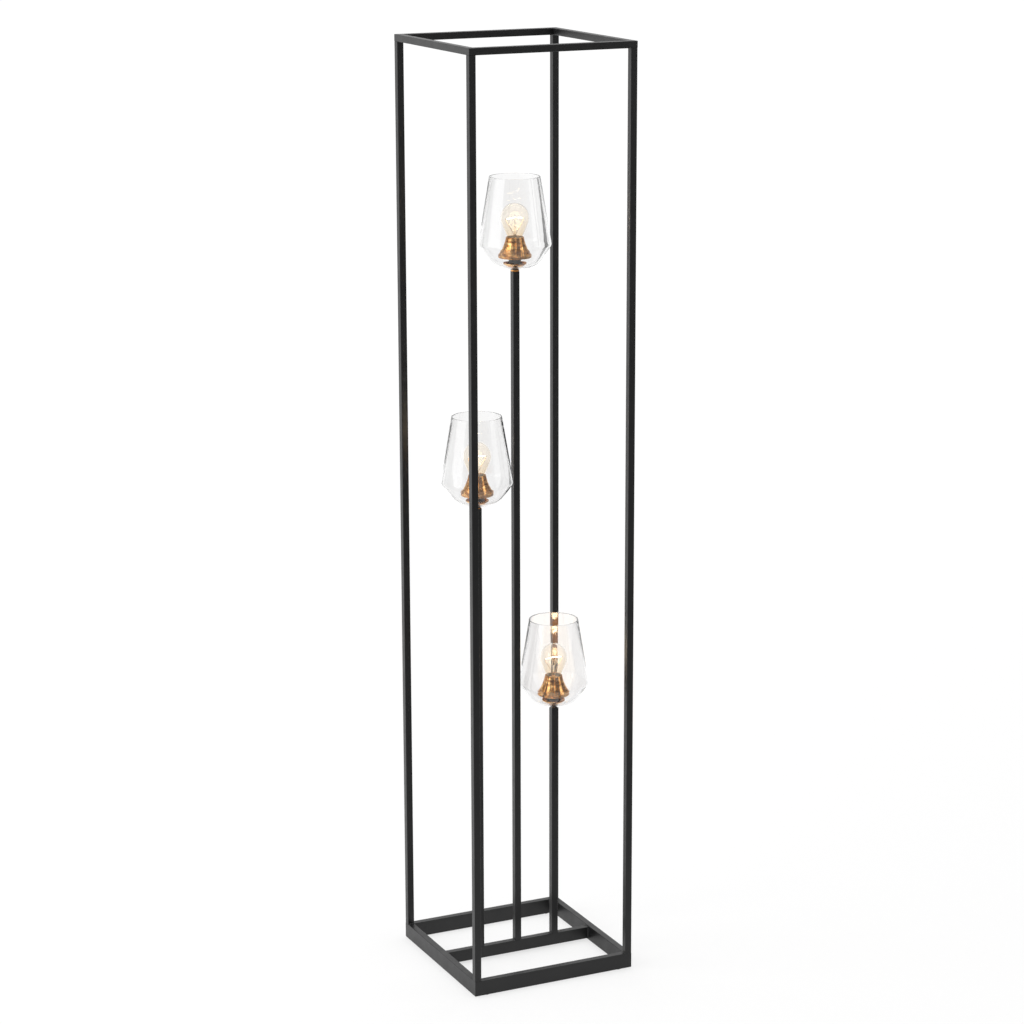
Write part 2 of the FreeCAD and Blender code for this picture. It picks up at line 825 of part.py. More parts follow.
def make_bulb_foot(name):
    """The black glass insulator under the cap, and the solder contact on it."""
    insulator = turned(
        f"bulb_insulator_{name}",
        [
            ("0", "tip_tall"),
            ("tip_radius", "tip_tall"),
            ("insulator_radius", "cap_low"),
            ("insulator_radius", "tip_tall + insulator_tall"),
            ("0", "tip_tall + insulator_tall"),
        ],
    )
    tip = turned(
        f"bulb_tip_{name}",
        [("0", "0"), ("tip_radius / 2", "0"), ("tip_radius", "tip_tall"), ("0", "tip_tall")],
    )
    return [insulator, tip]


def make_bulb_stem(name):
    """The glass stem that carries the wires, flared where it joins the neck."""
    return turned(
        f"bulb_stem_{name}",
        [
            ("0", "neck_low"),
            (f"{neck_radius('neck_low')} - bulb_wall - play", "neck_low"),
            ("stem_waist_radius", "stem_waist"),
            ("stem_rod_radius", "stem_waist"),
            ("stem_rod_radius", "stem_top"),
            ("0", "stem_top"),
        ],
    )


def make_filament(name):
    """Two lead wires that spread from the stem's shoulder, a prop, and the filament on them."""
    root = "((stem_waist_radius + stem_rod_radius) / 2)"
    wire_top = "(filament_height - filament_radius)"
    pieces = []
    for side, sign in (("right", ""), ("left", "-")):
        path = [
            (f"{sign}{root}", "stem_waist"),
            (f"{sign}{root}", "stem_waist + wire_straight"),
            (f"{sign}wire_spread", f"{wire_top} - wire_straight"),
            (f"{sign}wire_spread", wire_top),
        ]
        wire_foot = ("XY_Plane", "stem_waist")
        label = f"bulb_wire_{side}_{name}"
        wire = piped(label, ("XZ_Plane",), path, wire_foot, (f"{sign}{root}",), "wire_radius")
        pieces.append(wire)
    crest = "(filament_height + filament_rise)"
    ends = "(wire_spread + 2 * wire_radius)"
    pieces.append(turned(
        f"bulb_prop_{name}",
        [
            ("0", "stem_top"),
            ("wire_radius", "stem_top"),
            ("wire_radius", f"{crest} - filament_radius"),
            ("0", f"{crest} - filament_radius"),
        ],
    ))
    span = [(f"-{ends}", "filament_height"), ("0", crest), (ends, "filament_height")]
    start = ("YZ_Plane", f"-{ends}")
    label = f"bulb_coil_{name}"
    pieces.append(
        piped(label, ("XZ_Plane",), span, start, ("0", "filament_height"), "filament_radius")
    )
    return pieces


def make_bulb(name, x, seat):
    """One bulb, which screws out and lifts clear as a whole."""
    foot = f"{seat} + {BULB_FOOT}"
    glass, cap, stem = make_bulb_glass(name), make_bulb_cap(name), make_bulb_stem(name)
    for piece in (glass, cap, stem):
        node(place(piece, x, z=foot))
    for label, pieces in (
        (f"bulb_contact_{name}", make_bulb_foot(name)),
        (f"bulb_filament_{name}", make_filament(name)),
    ):
        group(label, [place(piece, x, z=foot) for piece in pieces])


def make_wiring():
    """The terminal block in the cross bar, a lead up each post, and the feed from the inlet."""
    block_left = f"(({LAMP_PITCH} + frame_width / 2 - tube_side - block_long) / 2)"
    block_right = f"({block_left} + block_long)"
    block = new_body("terminal_block")
    section = new_sketch(block, "XY_Plane", f"{CROSS_FLOOR} + play")
    rectangle(section, "block_long", "block_wide")
    pad(block, section, "block_tall")
    wells = new_sketch(block, "XY_Plane", f"{CROSS_FLOOR} + play + block_tall")
    for i in (-1, 0, 1):
        circle(wells, "well_radius", f"{i} * well_pitch")
    pocket(block, wells, "well_deep")
    node(place(block, f"{block_left} + block_long / 2"))

    leads = []
    levels = {"lower": "lead_step", "upper": "0", "middle": "-lead_step"}
    for name, (x, seat) in LAMPS.items():
        level = f"({BASE_MIDDLE} + {levels[name]})"
        path = [
            (block_left, level),
            (f"{x} + lead_bend", level, "lead_bend", RIGHT),
            (x, f"{level} + lead_bend"),
            (x, f"{seat} + {WIRE_ROOM_TOP}"),
        ]
        start = ("YZ_Plane", block_left)
        label = f"lamp_lead_{name}"
        leads.append(piped(label, ("XZ_Plane",), path, start, ("0", level), "lead_radius"))
    group("lamp_leads", leads)

    path = [
        (block_right, "0"),
        (f"{BAR_X} - feed_bend", "0", "feed_bend", LEFT),
        (BAR_X, "feed_bend"),
        (BAR_X, "frame_depth / 2 - feed_end"),
    ]
    plane, start = ("XY_Plane", BASE_MIDDLE), ("YZ_Plane", block_right)
    node(piped("feed_cable", plane, path, start, ("0", BASE_MIDDLE), "feed_radius"))


def make_inlet_bush():
    """The snap-in bush in the rear bar's wall, turned about Y, where the mains lead comes in."""
    inside = "-(base_wall + play)"
    bush = new_body("inlet_bush")
    profile = outline(
        new_sketch(bush, "XY_Plane"),
        [
            ("bush_bore", "bush_lip"),
            ("bush_bore", f"{inside} - bush_catch"),
            ("bush_neck_radius", f"{inside} - bush_catch"),
            ("bush_catch_radius", inside),
            ("bush_neck_radius", inside),
            ("bush_neck_radius", "0"),
            ("bush_lip_radius", "0"),
            ("bush_lip_radius", "bush_lip / 2"),
            ("bush_lip_radius - bush_lip / 2", "bush_lip"),
        ],
    )
    turn_solid(bush, profile)
    node(place(bush, BAR_X, "frame_depth / 2", BASE_MIDDLE))


def check_document():
    """Stops if any object failed or any piece's shape is empty or invalid."""
    failed = [o.Name for o in doc.Objects if "Invalid" in o.State or "Error" in o.State]
    bad = [n.Label for n in nodes if n.Shape.isNull() or not n.Shape.isValid()]
    if failed or bad:
        raise ValueError(f"failed objects {failed}, bad shapes {bad}")


def main():
    make_base()
    make_cage()
    kinds = {}
    for name, (x, seat) in LAMPS.items():
        make_post(name, x, seat)
        for kind, pieces in make_lamp_stack(name, x, seat).items():
            kinds.setdefault(kind, []).extend(pieces)
        make_bulb(name, x, seat)
    for kind, pieces in kinds.items():
        group(kind, pieces)
    make_wiring()
    make_inlet_bush()
    doc.recompute()
    check_document()
    os.makedirs("parts", exist_ok=True)
    for piece in nodes:
        piece.Shape.exportStep(f"parts/{piece.Label}.step")
    print(f"{len(nodes)} nodes, {sum(len(n.Shape.Solids) for n in nodes)} solids")


main()
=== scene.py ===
"""Floor lamp: a cage of slim black tube that holds three clear tulip glasses on square posts.

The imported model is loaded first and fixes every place. The tubes and the small fittings are its
own nodes in better finishes. The turned glass and brass, the lampholders and the bulbs are built
here as smooth pieces that stand for their nodes. All lengths are in metres, +Z up.
"""

import json
import logging
import math
from collections.abc import Callable, Iterable, Sequence
from dataclasses import dataclass
from enum import Enum

import bmesh
import bpy
from mathutils import Matrix, Vector


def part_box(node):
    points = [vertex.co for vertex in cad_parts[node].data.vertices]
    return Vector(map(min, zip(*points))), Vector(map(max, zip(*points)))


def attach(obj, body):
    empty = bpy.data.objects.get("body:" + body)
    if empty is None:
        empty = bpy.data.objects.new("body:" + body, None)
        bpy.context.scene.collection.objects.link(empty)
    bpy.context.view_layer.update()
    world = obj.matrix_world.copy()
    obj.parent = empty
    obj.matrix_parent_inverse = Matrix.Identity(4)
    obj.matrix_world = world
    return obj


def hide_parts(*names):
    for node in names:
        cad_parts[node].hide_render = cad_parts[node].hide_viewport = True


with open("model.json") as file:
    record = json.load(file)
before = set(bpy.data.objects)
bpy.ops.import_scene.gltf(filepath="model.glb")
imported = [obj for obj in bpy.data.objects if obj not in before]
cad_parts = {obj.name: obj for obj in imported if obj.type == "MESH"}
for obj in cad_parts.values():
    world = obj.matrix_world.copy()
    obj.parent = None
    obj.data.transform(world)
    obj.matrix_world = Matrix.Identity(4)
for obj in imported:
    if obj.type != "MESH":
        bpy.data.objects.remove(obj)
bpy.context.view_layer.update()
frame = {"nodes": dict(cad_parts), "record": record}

log = logging.getLogger("floor_lamp")

Pair = tuple[float, float]
Triple = tuple[float, float, float]
Faces = list[tuple[int, ...]]
Shift = Callable[[float, float, float], float]
Stops = Sequence[tuple[float, Triple]]
Mesh = bpy.types.Mesh
Object = bpy.types.Object
Material = bpy.types.Material
Socket = bpy.types.NodeSocket
Source = Socket | float | Sequence[float]
Coats = dict[str, Material]

STAND = "stand"
ON_AXIS = 1e-7
CREASE = math.radians(34)
STRAIGHT = math.pi - 0.02
UP = Vector((0, 0, 1))


class Site(Enum):
    """One of the lamps, by its height in the cage."""

    UPPER = "upper"
    MIDDLE = "middle"
    LOWER = "lower"

    def seat(self) -> Vector:
        """The middle of the underside of this lamp's glass."""
        return foot_of(f"glass_shade_{self.value}")

    def bulb_foot(self) -> Vector:
        """The lowest point of this lamp's bulb, on its axis."""
        return foot_of(f"bulb_contact_{self.value}")

    def bulb_body(self) -> str:
        """The body that this lamp's bulb rides on."""
        return f"bulb_{self.value}"


class Spread(Enum):
    """How far a soft lamp of the studio reaches, as the side of its square panel."""

    BROAD = 3.2
    MEDIUM = 2.2


def foot_of(node: str) -> Vector:
    """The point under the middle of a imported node's box, at its lowest height."""
    low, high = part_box(node)
    return Vector(((low[0] + high[0]) / 2, (low[1] + high[1]) / 2, low[2]))


def in_scene(name: str, data: bpy.types.ID) -> Object:
    """Adds an object to the scene.

    Args:
        name: its name.
        data: its mesh, camera or light.

    Returns:
        The object.
    """
    obj = bpy.data.objects.new(name, data)
    bpy.context.scene.collection.objects.link(obj)
    return obj


def arc(centre: Pair, radius: float, start: float, end: float, steps: int) -> list[Pair]:
    """Points along an arc from one angle to another, in degrees, both ends among them."""
    angles = (math.radians(start + (end - start) * i / steps) for i in range(steps + 1))
    return [(centre[0] + radius * math.cos(a), centre[1] + radius * math.sin(a)) for a in angles]


def sharp(points: Iterable[Pair]) -> list[Triple]:
    """The points as corners that are left as they are."""
    return [(x, y, 0.0) for x, y in points]


def rounded(corners: Sequence[Triple], steps: int = 5) -> list[Pair]:
    """A closed outline with each corner rounded by its own radius.

    Args:
        corners: radius from the axis, height, and rounding of each corner.
        steps: how many runs each rounding is divided into.

    Returns:
        The outline's points in order.
    """
    points: list[Pair] = []
    for i, (x, y, radius) in enumerate(corners):
        here = Vector((x, y))
        back = Vector(corners[i - 1][:2]) - here
        ahead = Vector(corners[(i + 1) % len(corners)][:2]) - here
        opening = back.angle(ahead, math.pi)
        if radius <= 0 or opening > STRAIGHT:
            points.append((x, y))
            continue
        cut = min(radius / math.tan(opening / 2), back.length / 2, ahead.length / 2)
        size = cut * math.tan(opening / 2)
        centre = here + (back.normalized() + ahead.normalized()).normalized() * math.hypot(cut, size)
        start = here + back.normalized() * cut - centre
        end = here + ahead.normalized() * cut - centre
        first = math.atan2(start.y, start.x)
        sweep = math.remainder(math.atan2(end.y, end.x) - first, math.tau)
        for k in range(steps + 1):
            a = first + sweep * k / steps
            points.append((centre.x + size * math.cos(a), centre.y + size * math.sin(a)))
    return points


def smooth_line(points: Sequence[Vector], steps: int = 6) -> list[Vector]:
    """Points on one smooth curve through the given ones.

    Args:
        points: the points that it passes through.
        steps: how many runs each span is divided into.

    Returns:
        The curve's points in order.
    """
    line: list[Vector] = []
    padded = [points[0] * 2 - points[1], *points, points[-1] * 2 - points[-2]]
    for a, b, c, d in zip(padded, padded[1:], padded[2:], padded[3:]):
        bend, turn = a * 2 - b * 5 + c * 4 - d, b * 3 - a - c * 3 + d
        for t in (k / steps for k in range(steps)):
            line.append((b * 2 + (c - a) * t + bend * t**2 + turn * t**3) / 2)
    return [*line, points[-1]]


def turned(outline: Sequence[Pair], segments: int, shift: Shift | None = None) -> Mesh:
    """A solid turned about the vertical.

    Args:
        outline: its closed outline, as radius and height.
        segments: how many steps go round it.
        shift: gives how far a point moves outwards, from its angle, radius and height.

    Returns:
        The mesh, smooth but for its creases.
    """
    points: list[Triple] = []
    rings: list[list[int]] = []
    for radius, height in outline:
        if radius < ON_AXIS:
            rings.append([len(points)])
            points.append((0.0, 0.0, height))
            continue
        rings.append(list(range(len(points), len(points) + segments)))
        for k in range(segments):
            angle = math.tau * k / segments
            reach = radius + (shift(angle, radius, height) if shift else 0.0)
            points.append((reach * math.cos(angle), reach * math.sin(angle), height))
    faces: Faces = []
    for ring, following in zip(rings, rings[1:] + rings[:1]):
        for k in range(segments):
            n = (k + 1) % segments
            if len(ring) > 1 and len(following) > 1:
                faces.append((ring[k], following[k], following[n], ring[n]))
            elif len(ring) > 1:
                faces.append((ring[k], following[0], ring[n]))
            elif len(following) > 1:
                faces.append((ring[0], following[k], following[n]))
    return dressed_mesh(points, faces)


def rod_faces(runs: int, sides: int) -> Faces:
    """The faces of a rod that is closed at both ends.

    Args:
        runs: how many runs it has along its length.
        sides: how many points go round it.

    Returns:
        Its faces, as numbers of vertices, ring after ring.
    """
    faces: Faces = []
    for low in range(0, runs * sides, sides):
        for k in range(sides):
            n = (k + 1) % sides
            faces.append((low + k, low + n, low + sides + n, low + sides + k))
    last = runs * sides
    return [*faces, tuple(range(sides))[::-1], tuple(range(last, last + sides))]


def swept(line: Sequence[Vector], radius: float, sides: int = 8) -> Mesh:
    """A round wire along a line, closed at both ends.

    Args:
        line: the points that its middle follows.
        radius: the wire's radius.
        sides: how many flats go round it.

    Returns:
        The mesh.
    """
    points: list[Vector] = []
    across = (line[1] - line[0]).normalized().orthogonal().normalized()
    for i, point in enumerate(line):
        ahead = (line[min(i + 1, len(line) - 1)] - line[max(i - 1, 0)]).normalized()
        across = (across - ahead * across.dot(ahead)).normalized()
        other = ahead.cross(across)
        for k in range(sides):
            angle = math.tau * k / sides
            points.append(point + (across * math.cos(angle) + other * math.sin(angle)) * radius)
    return dressed_mesh(points, rod_faces(len(line) - 1, sides))


def dressed_mesh(points: Sequence[Sequence[float]], faces: Faces) -> Mesh:
    """A mesh with its faces turned outwards, shaded smooth but for its creases.

    Args:
        points: its vertices.
        faces: its faces, as numbers of vertices.

    Returns:
        The mesh.
    """
    mesh = bpy.data.meshes.new("part")
    mesh.from_pydata([tuple(p) for p in points], [], faces)
    work = bmesh.new()
    work.from_mesh(mesh)
    bmesh.ops.recalc_face_normals(work, faces=work.faces)
    for face in work.faces:
        face.smooth = True
    for edge in work.edges:
        edge.smooth = edge.calc_face_angle(math.pi) < CREASE
    work.to_mesh(mesh)
    work.free()
    return mesh


def joined(parts: Sequence[tuple[Mesh, int]]) -> Mesh:
    """Several meshes as one.

    Args:
        parts: each mesh with the number of the finish that it takes.

    Returns:
        The mesh that holds them all.
    """
    work = bmesh.new()
    for mesh, finish in parts:
        before = len(work.faces)
        work.from_mesh(mesh)
        work.faces.ensure_lookup_table()
        for face in work.faces[before:]:
            face.material_index = finish
        bpy.data.meshes.remove(mesh)
    whole = bpy.data.meshes.new("part")
    work.to_mesh(whole)
    work.free()
    return whole


@dataclass(frozen=True)
class Piece:
    """What a new piece is called, where it goes, and what it stands for."""

    name: str
    body: str
    slot: str
    place: Vector
    stands_for: tuple[str, ...] = ()

    def add(self, mesh: Mesh, *finishes: Material) -> None:
        """Puts the mesh in the scene as this piece, riding on its body.

        Args:
            mesh: its mesh, with its origin at the piece's place.
            finishes: its materials, in the order that the mesh numbers them.
        """
        mesh.name = self.name
        obj = in_scene(self.name, mesh)
        obj.location = self.place
        for finish in finishes:
            mesh.materials.append(finish)
        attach(obj, self.body)
        if self.stands_for:
            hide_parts(*self.stands_for)
        log.info("%s: %d faces, rides on %s", self.name, len(mesh.polygons), self.body)


@dataclass(frozen=True)
class Part:
    """One mesh of a fitting, its slot and finishes, and the kind of node that it stands for."""

    kind: str
    slot: str
    mesh: Mesh
    finishes: tuple[str, ...] = ()


class Fitting:
    """What every lamp has one of, on the stand unless the fitting says otherwise."""

    prefix = "plain"

    def parts(self) -> list[Part]:
        """The meshes of the fitting."""
        raise NotImplementedError

    def hold(self, site: Site) -> tuple[str, Vector]:
        """The body that the fitting rides on in one lamp, and its place."""
        return STAND, site.seat()

    def build(self, site: Site, coats: Coats) -> None:
        """Adds the fitting to one lamp.

        Args:
            site: which lamp.
            coats: the lamp's finishes.
        """
        body, place = self.hold(site)
        for part in self.parts():
            node = f"{part.kind}_{site.value}"
            piece = Piece(f"{self.prefix}_{node}", body, part.slot, place, (node,))
            piece.add(part.mesh, *(coats[name] for name in part.finishes or (part.slot,)))


class Wiring:
    """The nodes of one tree while they are being laid out."""

    def __init__(self, tree: bpy.types.NodeTree) -> None:
        """Takes the tree that is worked on."""
        self.tree = tree

    def feed(self, target: Socket, source: Source) -> None:
        """Gives an input its value.

        Args:
            target: the input.
            source: another node's output, or a plain value.
        """
        if isinstance(source, Socket):
            self.tree.links.new(source, target)
        else:
            target.default_value = source

    def node(self, kind: str, inputs: dict | None = None, **settings: object) -> bpy.types.Node:
        """Adds a node.

        Args:
            kind: the node's type.
            inputs: what its sockets are fed, by name or number.
            settings: its other properties.

        Returns:
            The node.
        """
        made = self.tree.nodes.new(kind)
        for key, setting in settings.items():
            setattr(made, key, setting)
        for key, source in (inputs or {}).items():
            self.feed(made.inputs[key], source)
        return made

    def maths(self, operation: str, *terms: Source) -> Socket:
        """The result of one step of arithmetic on sockets or plain numbers."""
        return self.node("ShaderNodeMath", dict(enumerate(terms)), operation=operation).outputs[0]

    def vector(self, operation: str, *terms: Source) -> bpy.types.Node:
        """The node of one step of arithmetic on vectors."""
        return self.node("ShaderNodeVectorMath", dict(enumerate(terms)), operation=operation)

    def along(self, where: Socket, way: Triple) -> Socket:
        """How far a place or direction lies along another direction."""
        return self.vector("DOT_PRODUCT", where, way).outputs["Value"]

    def blend(self, share: Socket, low: Source, high: Source) -> Socket:
        """The value that lies a share of the way from the low one to the high one."""
        return self.maths("MULTIPLY_ADD", share, self.maths("SUBTRACT", high, low), low)

    def spread(
        self, source: Socket, low: float, high: float,
        start: float = 0.3, end: float = 0.7, soft: bool = False,
    ) -> Socket:
        """Spreads a pattern over a range.

        Args:
            source: the pattern.
            low: what it gives at its start.
            high: what it gives at its end.
            start: where the pattern starts to rise.
            end: where it stops.
            soft: whether it eases in and out.

        Returns:
            The socket that gives the new values.
        """
        made = self.node(
            "ShaderNodeMapRange",
            {"Value": source, "From Min": start, "From Max": end, "To Min": low, "To Max": high},
            interpolation_type="SMOOTHSTEP" if soft else "LINEAR",
        )
        return made.outputs["Result"]

    def ramp(self, source: Socket, stops: Stops) -> Socket:
        """Colours a pattern.

        Args:
            source: the pattern.
            stops: each place on it with its colour.

        Returns:
            The socket that gives the colour.
        """
        made = self.node("ShaderNodeValToRGB", {"Fac": source})
        band = made.color_ramp
        while len(band.elements) < len(stops):
            band.elements.new(0.5)
        for element, (at, colour) in zip(band.elements, stops):
            element.position = at
            element.color = (*colour, 1.0)
        return made.outputs["Color"]


class Recipe(Wiring):
    """A material's nodes while they are being laid out."""

    def __init__(self, name: str) -> None:
        """Starts a material with its plain shader.

        Args:
            name: what it is called.
        """
        self.material = bpy.data.materials.new(name)
        self.material.use_nodes = True
        super().__init__(self.material.node_tree)
        self.shader = self.tree.nodes["Principled BSDF"]

    def set(self, **sources: Source) -> None:
        """Feeds the shader's sockets, with spaces in their names written as underscores."""
        for key, source in sources.items():
            self.feed(self.shader.inputs[key.replace("_", " ")], source)

    def place(self, stretch: Triple = (1.0, 1.0, 1.0)) -> Socket:
        """Places on the piece, in its own metres, each axis multiplied by its stretch."""
        where = self.node("ShaderNodeTexCoord").outputs["Object"]
        return self.node("ShaderNodeMapping", {"Scale": stretch, "Vector": where}).outputs["Vector"]

    def grain(self, scale: float, detail: float = 3.0, stretch: Triple = (1.0, 1.0, 1.0)) -> Socket:
        """A soft random pattern from 0 to 1, its scale in features per metre."""
        inputs = {"Scale": scale, "Detail": detail, "Vector": self.place(stretch)}
        return self.node("ShaderNodeTexNoise", inputs).outputs["Fac"]

    def relief(self, source: Socket, depth: float, strength: float) -> bpy.types.Node:
        """Raises the surface by a pattern.

        Args:
            source: the pattern.
            depth: how deep it goes.
            strength: how much of it shows.

        Returns:
            The bump node, joined to the shader.
        """
        inputs = {"Strength": strength, "Distance": depth, "Height": source}
        made = self.node("ShaderNodeBump", inputs)
        self.set(Normal=made.outputs["Normal"])
        return made

    def let_lamps_through(self, tint: Triple) -> None:
        """Makes glass pass the light of the lamps on to what is behind it.

        Args:
            tint: the colour that it gives the light.
        """
        path = self.node("ShaderNodeLightPath").outputs
        clear = self.node("ShaderNodeBsdfTransparent", {"Color": (*tint, 1.0)})
        mixed = self.node("ShaderNodeMixShader", {
            "Fac": self.maths("MAXIMUM", path["Is Shadow Ray"], path["Is Diffuse Ray"]),
            1: self.shader.outputs["BSDF"],
            2: clear.outputs["BSDF"],
        })
        surface = self.tree.nodes["Material Output"].inputs["Surface"]
        self.feed(surface, mixed.outputs["Shader"])


@dataclass(frozen=True)
class Brass:
    """Turned and polished brass with fine rings from the tool, and painted dark reflections and
    highlights in clouds.
    """

    # Painted reflections: deep brown for the dark ones, pale gold for painted highlights.
    painted_reflections: Stops = (
        (0.32, (0.28, 0.10, 0.02)), (0.5, (0.62, 0.28, 0.08)), (0.70, (0.95, 0.62, 0.27)),
    )
    painted_reflection_scale: float = 110.0
    painted_reflection_stretch: Triple = (1.0, 1.0, 2.6)
    roughness: Pair = (0.06, 0.14)
    smear_scale: float = 140.0
    rings: float = 260.0
    ring_waver: float = 1.2
    ring_detail: float = 2.0
    ring_depth: float = 0.000010
    ring_share: float = 0.5
    dents: float = 190.0
    dent_depth: float = 0.00016
    dent_share: float = 0.6

    def make(self) -> Material:
        """Makes the finish.

        Returns:
            Its material.
        """
        recipe = Recipe("turned_brass")
        # Stretched clouds of painted dark reflections and painted highlights.
        painted_reflections = recipe.grain(self.painted_reflection_scale, stretch=self.painted_reflection_stretch)
        smears = recipe.grain(self.smear_scale, detail=4.0)
        recipe.set(
            Metallic=1.0, Base_Color=recipe.ramp(painted_reflections, self.painted_reflections),
            Roughness=recipe.spread(smears, *self.roughness),
        )
        turning = recipe.node(
            "ShaderNodeTexWave",
            {
                "Scale": self.rings, "Distortion": self.ring_waver, "Detail": self.ring_detail,
                "Vector": recipe.place(),
            },
            wave_type="BANDS", bands_direction="Z",
        )
        fine = recipe.relief(turning.outputs["Fac"], self.ring_depth, self.ring_share)
        dents = recipe.grain(self.dents, detail=1.0)
        broad = recipe.relief(dents, self.dent_depth, self.dent_share)
        recipe.feed(broad.inputs["Normal"], fine.outputs["Normal"])
        return recipe.material


@dataclass(frozen=True)
class ClearGlass:
    """Clear blown glass: painted shade where looked at squarely, painted light at its grazing edges.
    """

    # Painted shade and light by facing: greyer face-on, near white at the grazing edges.
    painted_tints: Stops = ((0.40, (0.932, 0.931, 0.930)), (0.66, (0.955,) * 3), (0.86, (0.995,) * 3))
    lamp_tint: Triple = (0.97, 0.97, 0.97)
    bend: float = 1.46
    waves: float = 16.0
    depth: float = 0.0006
    share: float = 0.35

    def make(self) -> Material:
        """Makes the finish.

        Returns:
            Its material.
        """
        recipe = Recipe("clear_glass")
        # The facing mask that carries the painted shade and painted light of the glass.
        facing_shade = recipe.node("ShaderNodeLayerWeight", {"Blend": 0.5}).outputs["Facing"]
        recipe.set(
            Transmission_Weight=1.0, Roughness=0.0, IOR=self.bend,
            Base_Color=recipe.ramp(facing_shade, self.painted_tints),
        )
        recipe.relief(recipe.grain(self.waves, detail=1.0), self.depth, self.share)
        recipe.let_lamps_through(self.lamp_tint)
        return recipe.material


@dataclass(frozen=True)
class WarmGlass:
    """The thin clear glass of a lit bulb, with a painted warm tint towards its neck and a faint
    painted glow.
    """

    # Painted warm light of the lit bulb, strongest at the neck, with random clouds of tone on top.
    painted_tints: Stops = (
        (0.0, (0.93, 0.80, 0.62)), (0.35, (0.95, 0.88, 0.77)), (1.0, (0.985, 0.955, 0.91)),
    )
    lamp_tint: Triple = (1.0, 0.96, 0.88)
    # A faint painted glow of the lit bulb in the glass itself.
    glow: Triple = (1.0, 0.91, 0.76)
    painted_glow_strength: float = 0.022
    bend: float = 1.28
    neck_height: float = 0.024
    ball_height: float = 0.060
    cloud_scale: float = 70.0
    cloud_share: float = 0.09

    def make(self) -> Material:
        """Makes the finish.

        Returns:
            Its material.
        """
        recipe = Recipe("bulb_glass_clear")
        level = recipe.node("ShaderNodeSeparateXYZ", {"Vector": recipe.place()}).outputs["Z"]
        height = recipe.spread(level, 0.0, 1.0, self.neck_height, self.ball_height)
        clouds = recipe.grain(self.cloud_scale, detail=2.0)
        uneven = recipe.spread(clouds, -self.cloud_share, self.cloud_share, 0.0, 1.0)
        recipe.set(
            Transmission_Weight=1.0, Roughness=0.0, IOR=self.bend,
            Emission_Color=(*self.glow, 1.0), Emission_Strength=self.painted_glow_strength,
            Base_Color=recipe.ramp(recipe.maths("ADD", height, uneven), self.painted_tints),
        )
        recipe.let_lamps_through(self.lamp_tint)
        return recipe.material


@dataclass(frozen=True)
class Glowing:
    """The hot coil of a lit bulb, a little cooler at its ends."""

    metal: Triple = (0.35, 0.3, 0.26)
    glow: Stops = ((0.7, (1.0, 0.84, 0.58)), (1.0, (1.0, 0.62, 0.28)))
    strength: float = 14.0
    roughness: float = 0.5
    half_span: float = 0.018

    def make(self) -> Material:
        """Makes the finish.

        Returns:
            Its material.
        """
        recipe = Recipe("filament_lit")
        across = recipe.node("ShaderNodeSeparateXYZ", {"Vector": recipe.place()}).outputs["X"]
        reach = recipe.maths("ABSOLUTE", across)
        share = recipe.spread(reach, 0.0, 1.0, 0.0, self.half_span)
        recipe.set(
            Base_Color=(*self.metal, 1.0), Roughness=self.roughness, Metallic=1.0,
            Emission_Color=recipe.ramp(share, self.glow), Emission_Strength=self.strength,
        )
        return recipe.material


@dataclass(frozen=True)
class Grained:
    """A coated, moulded or rolled surface: two near shades in clouds, and a fine grain."""

    name: str
    low: Triple
    high: Triple
    roughness: Pair
    metal: float = 0.0
    clouds: float = 60.0
    smears: float = 180.0
    grain: float = 1500.0
    layers: float = 2.0
    depth: float = 0.00003
    share: float = 0.5

    def make(self) -> Material:
        """Makes the finish.

        Returns:
            Its material.
        """
        recipe = Recipe(self.name)
        clouds = recipe.grain(self.clouds)
        recipe.set(
            Metallic=self.metal,
            Base_Color=recipe.ramp(clouds, ((0.3, self.low), (0.7, self.high))),
            Roughness=recipe.spread(recipe.grain(self.smears), *self.roughness),
        )
        recipe.relief(recipe.grain(self.grain, self.layers), self.depth, self.share)
        return recipe.material


FINISHES = {
    "black_metal": Grained(
        "powder_coat_black", (0.0055, 0.0055, 0.006), (0.009, 0.009, 0.0095), (0.33, 0.42),
        clouds=26.0, smears=60.0, grain=1100.0, layers=1.0, share=0.6,
    ),
    "brass": Brass(),
    "clear_glass": ClearGlass(),
    "bulb_glass": WarmGlass(),
    "filament": Glowing(),
    "black_plastic": Grained(
        "black_phenolic", (0.010, 0.010, 0.010), (0.018, 0.017, 0.016), (0.30, 0.42)
    ),
    "rubber": Grained("washer_silicone", (0.66, 0.66, 0.64), (0.74, 0.74, 0.72), (0.40, 0.52)),
    "plated_steel": Grained(
        "plated_steel", (0.66, 0.46, 0.20), (0.76, 0.55, 0.27), (0.18, 0.28), metal=1.0
    ),
    "contact_brass": Grained(
        "sheet_brass", (0.68, 0.50, 0.24), (0.78, 0.60, 0.32), (0.26, 0.36), metal=1.0
    ),
    "bulb_cap": Grained(
        "bulb_cap_metal", (0.60, 0.56, 0.50), (0.72, 0.68, 0.62), (0.22, 0.34), metal=1.0
    ),
    "bulb_contact": Grained(
        "cap_insulator", (0.006, 0.006, 0.008), (0.012, 0.012, 0.015), (0.10, 0.18)
    ),
    "solder": Grained(
        "solder_point", (0.50, 0.50, 0.50), (0.62, 0.62, 0.62), (0.30, 0.48), metal=1.0
    ),
    "lead_wire": Grained(
        "lead_wire", (0.42, 0.30, 0.20), (0.52, 0.38, 0.26), (0.28, 0.40), metal=1.0
    ),
    "block_plastic": Grained(
        "terminal_block", (0.70, 0.69, 0.64), (0.78, 0.77, 0.72), (0.36, 0.48)
    ),
    "wire_sleeve": Grained(
        "wire_sleeve", (0.020, 0.020, 0.020), (0.030, 0.030, 0.030), (0.42, 0.55)
    ),
}


def make_coats() -> Coats:
    """Every finish as a material, by the record's material slot or its own name."""
    return {name: finish.make() for name, finish in FINISHES.items()}


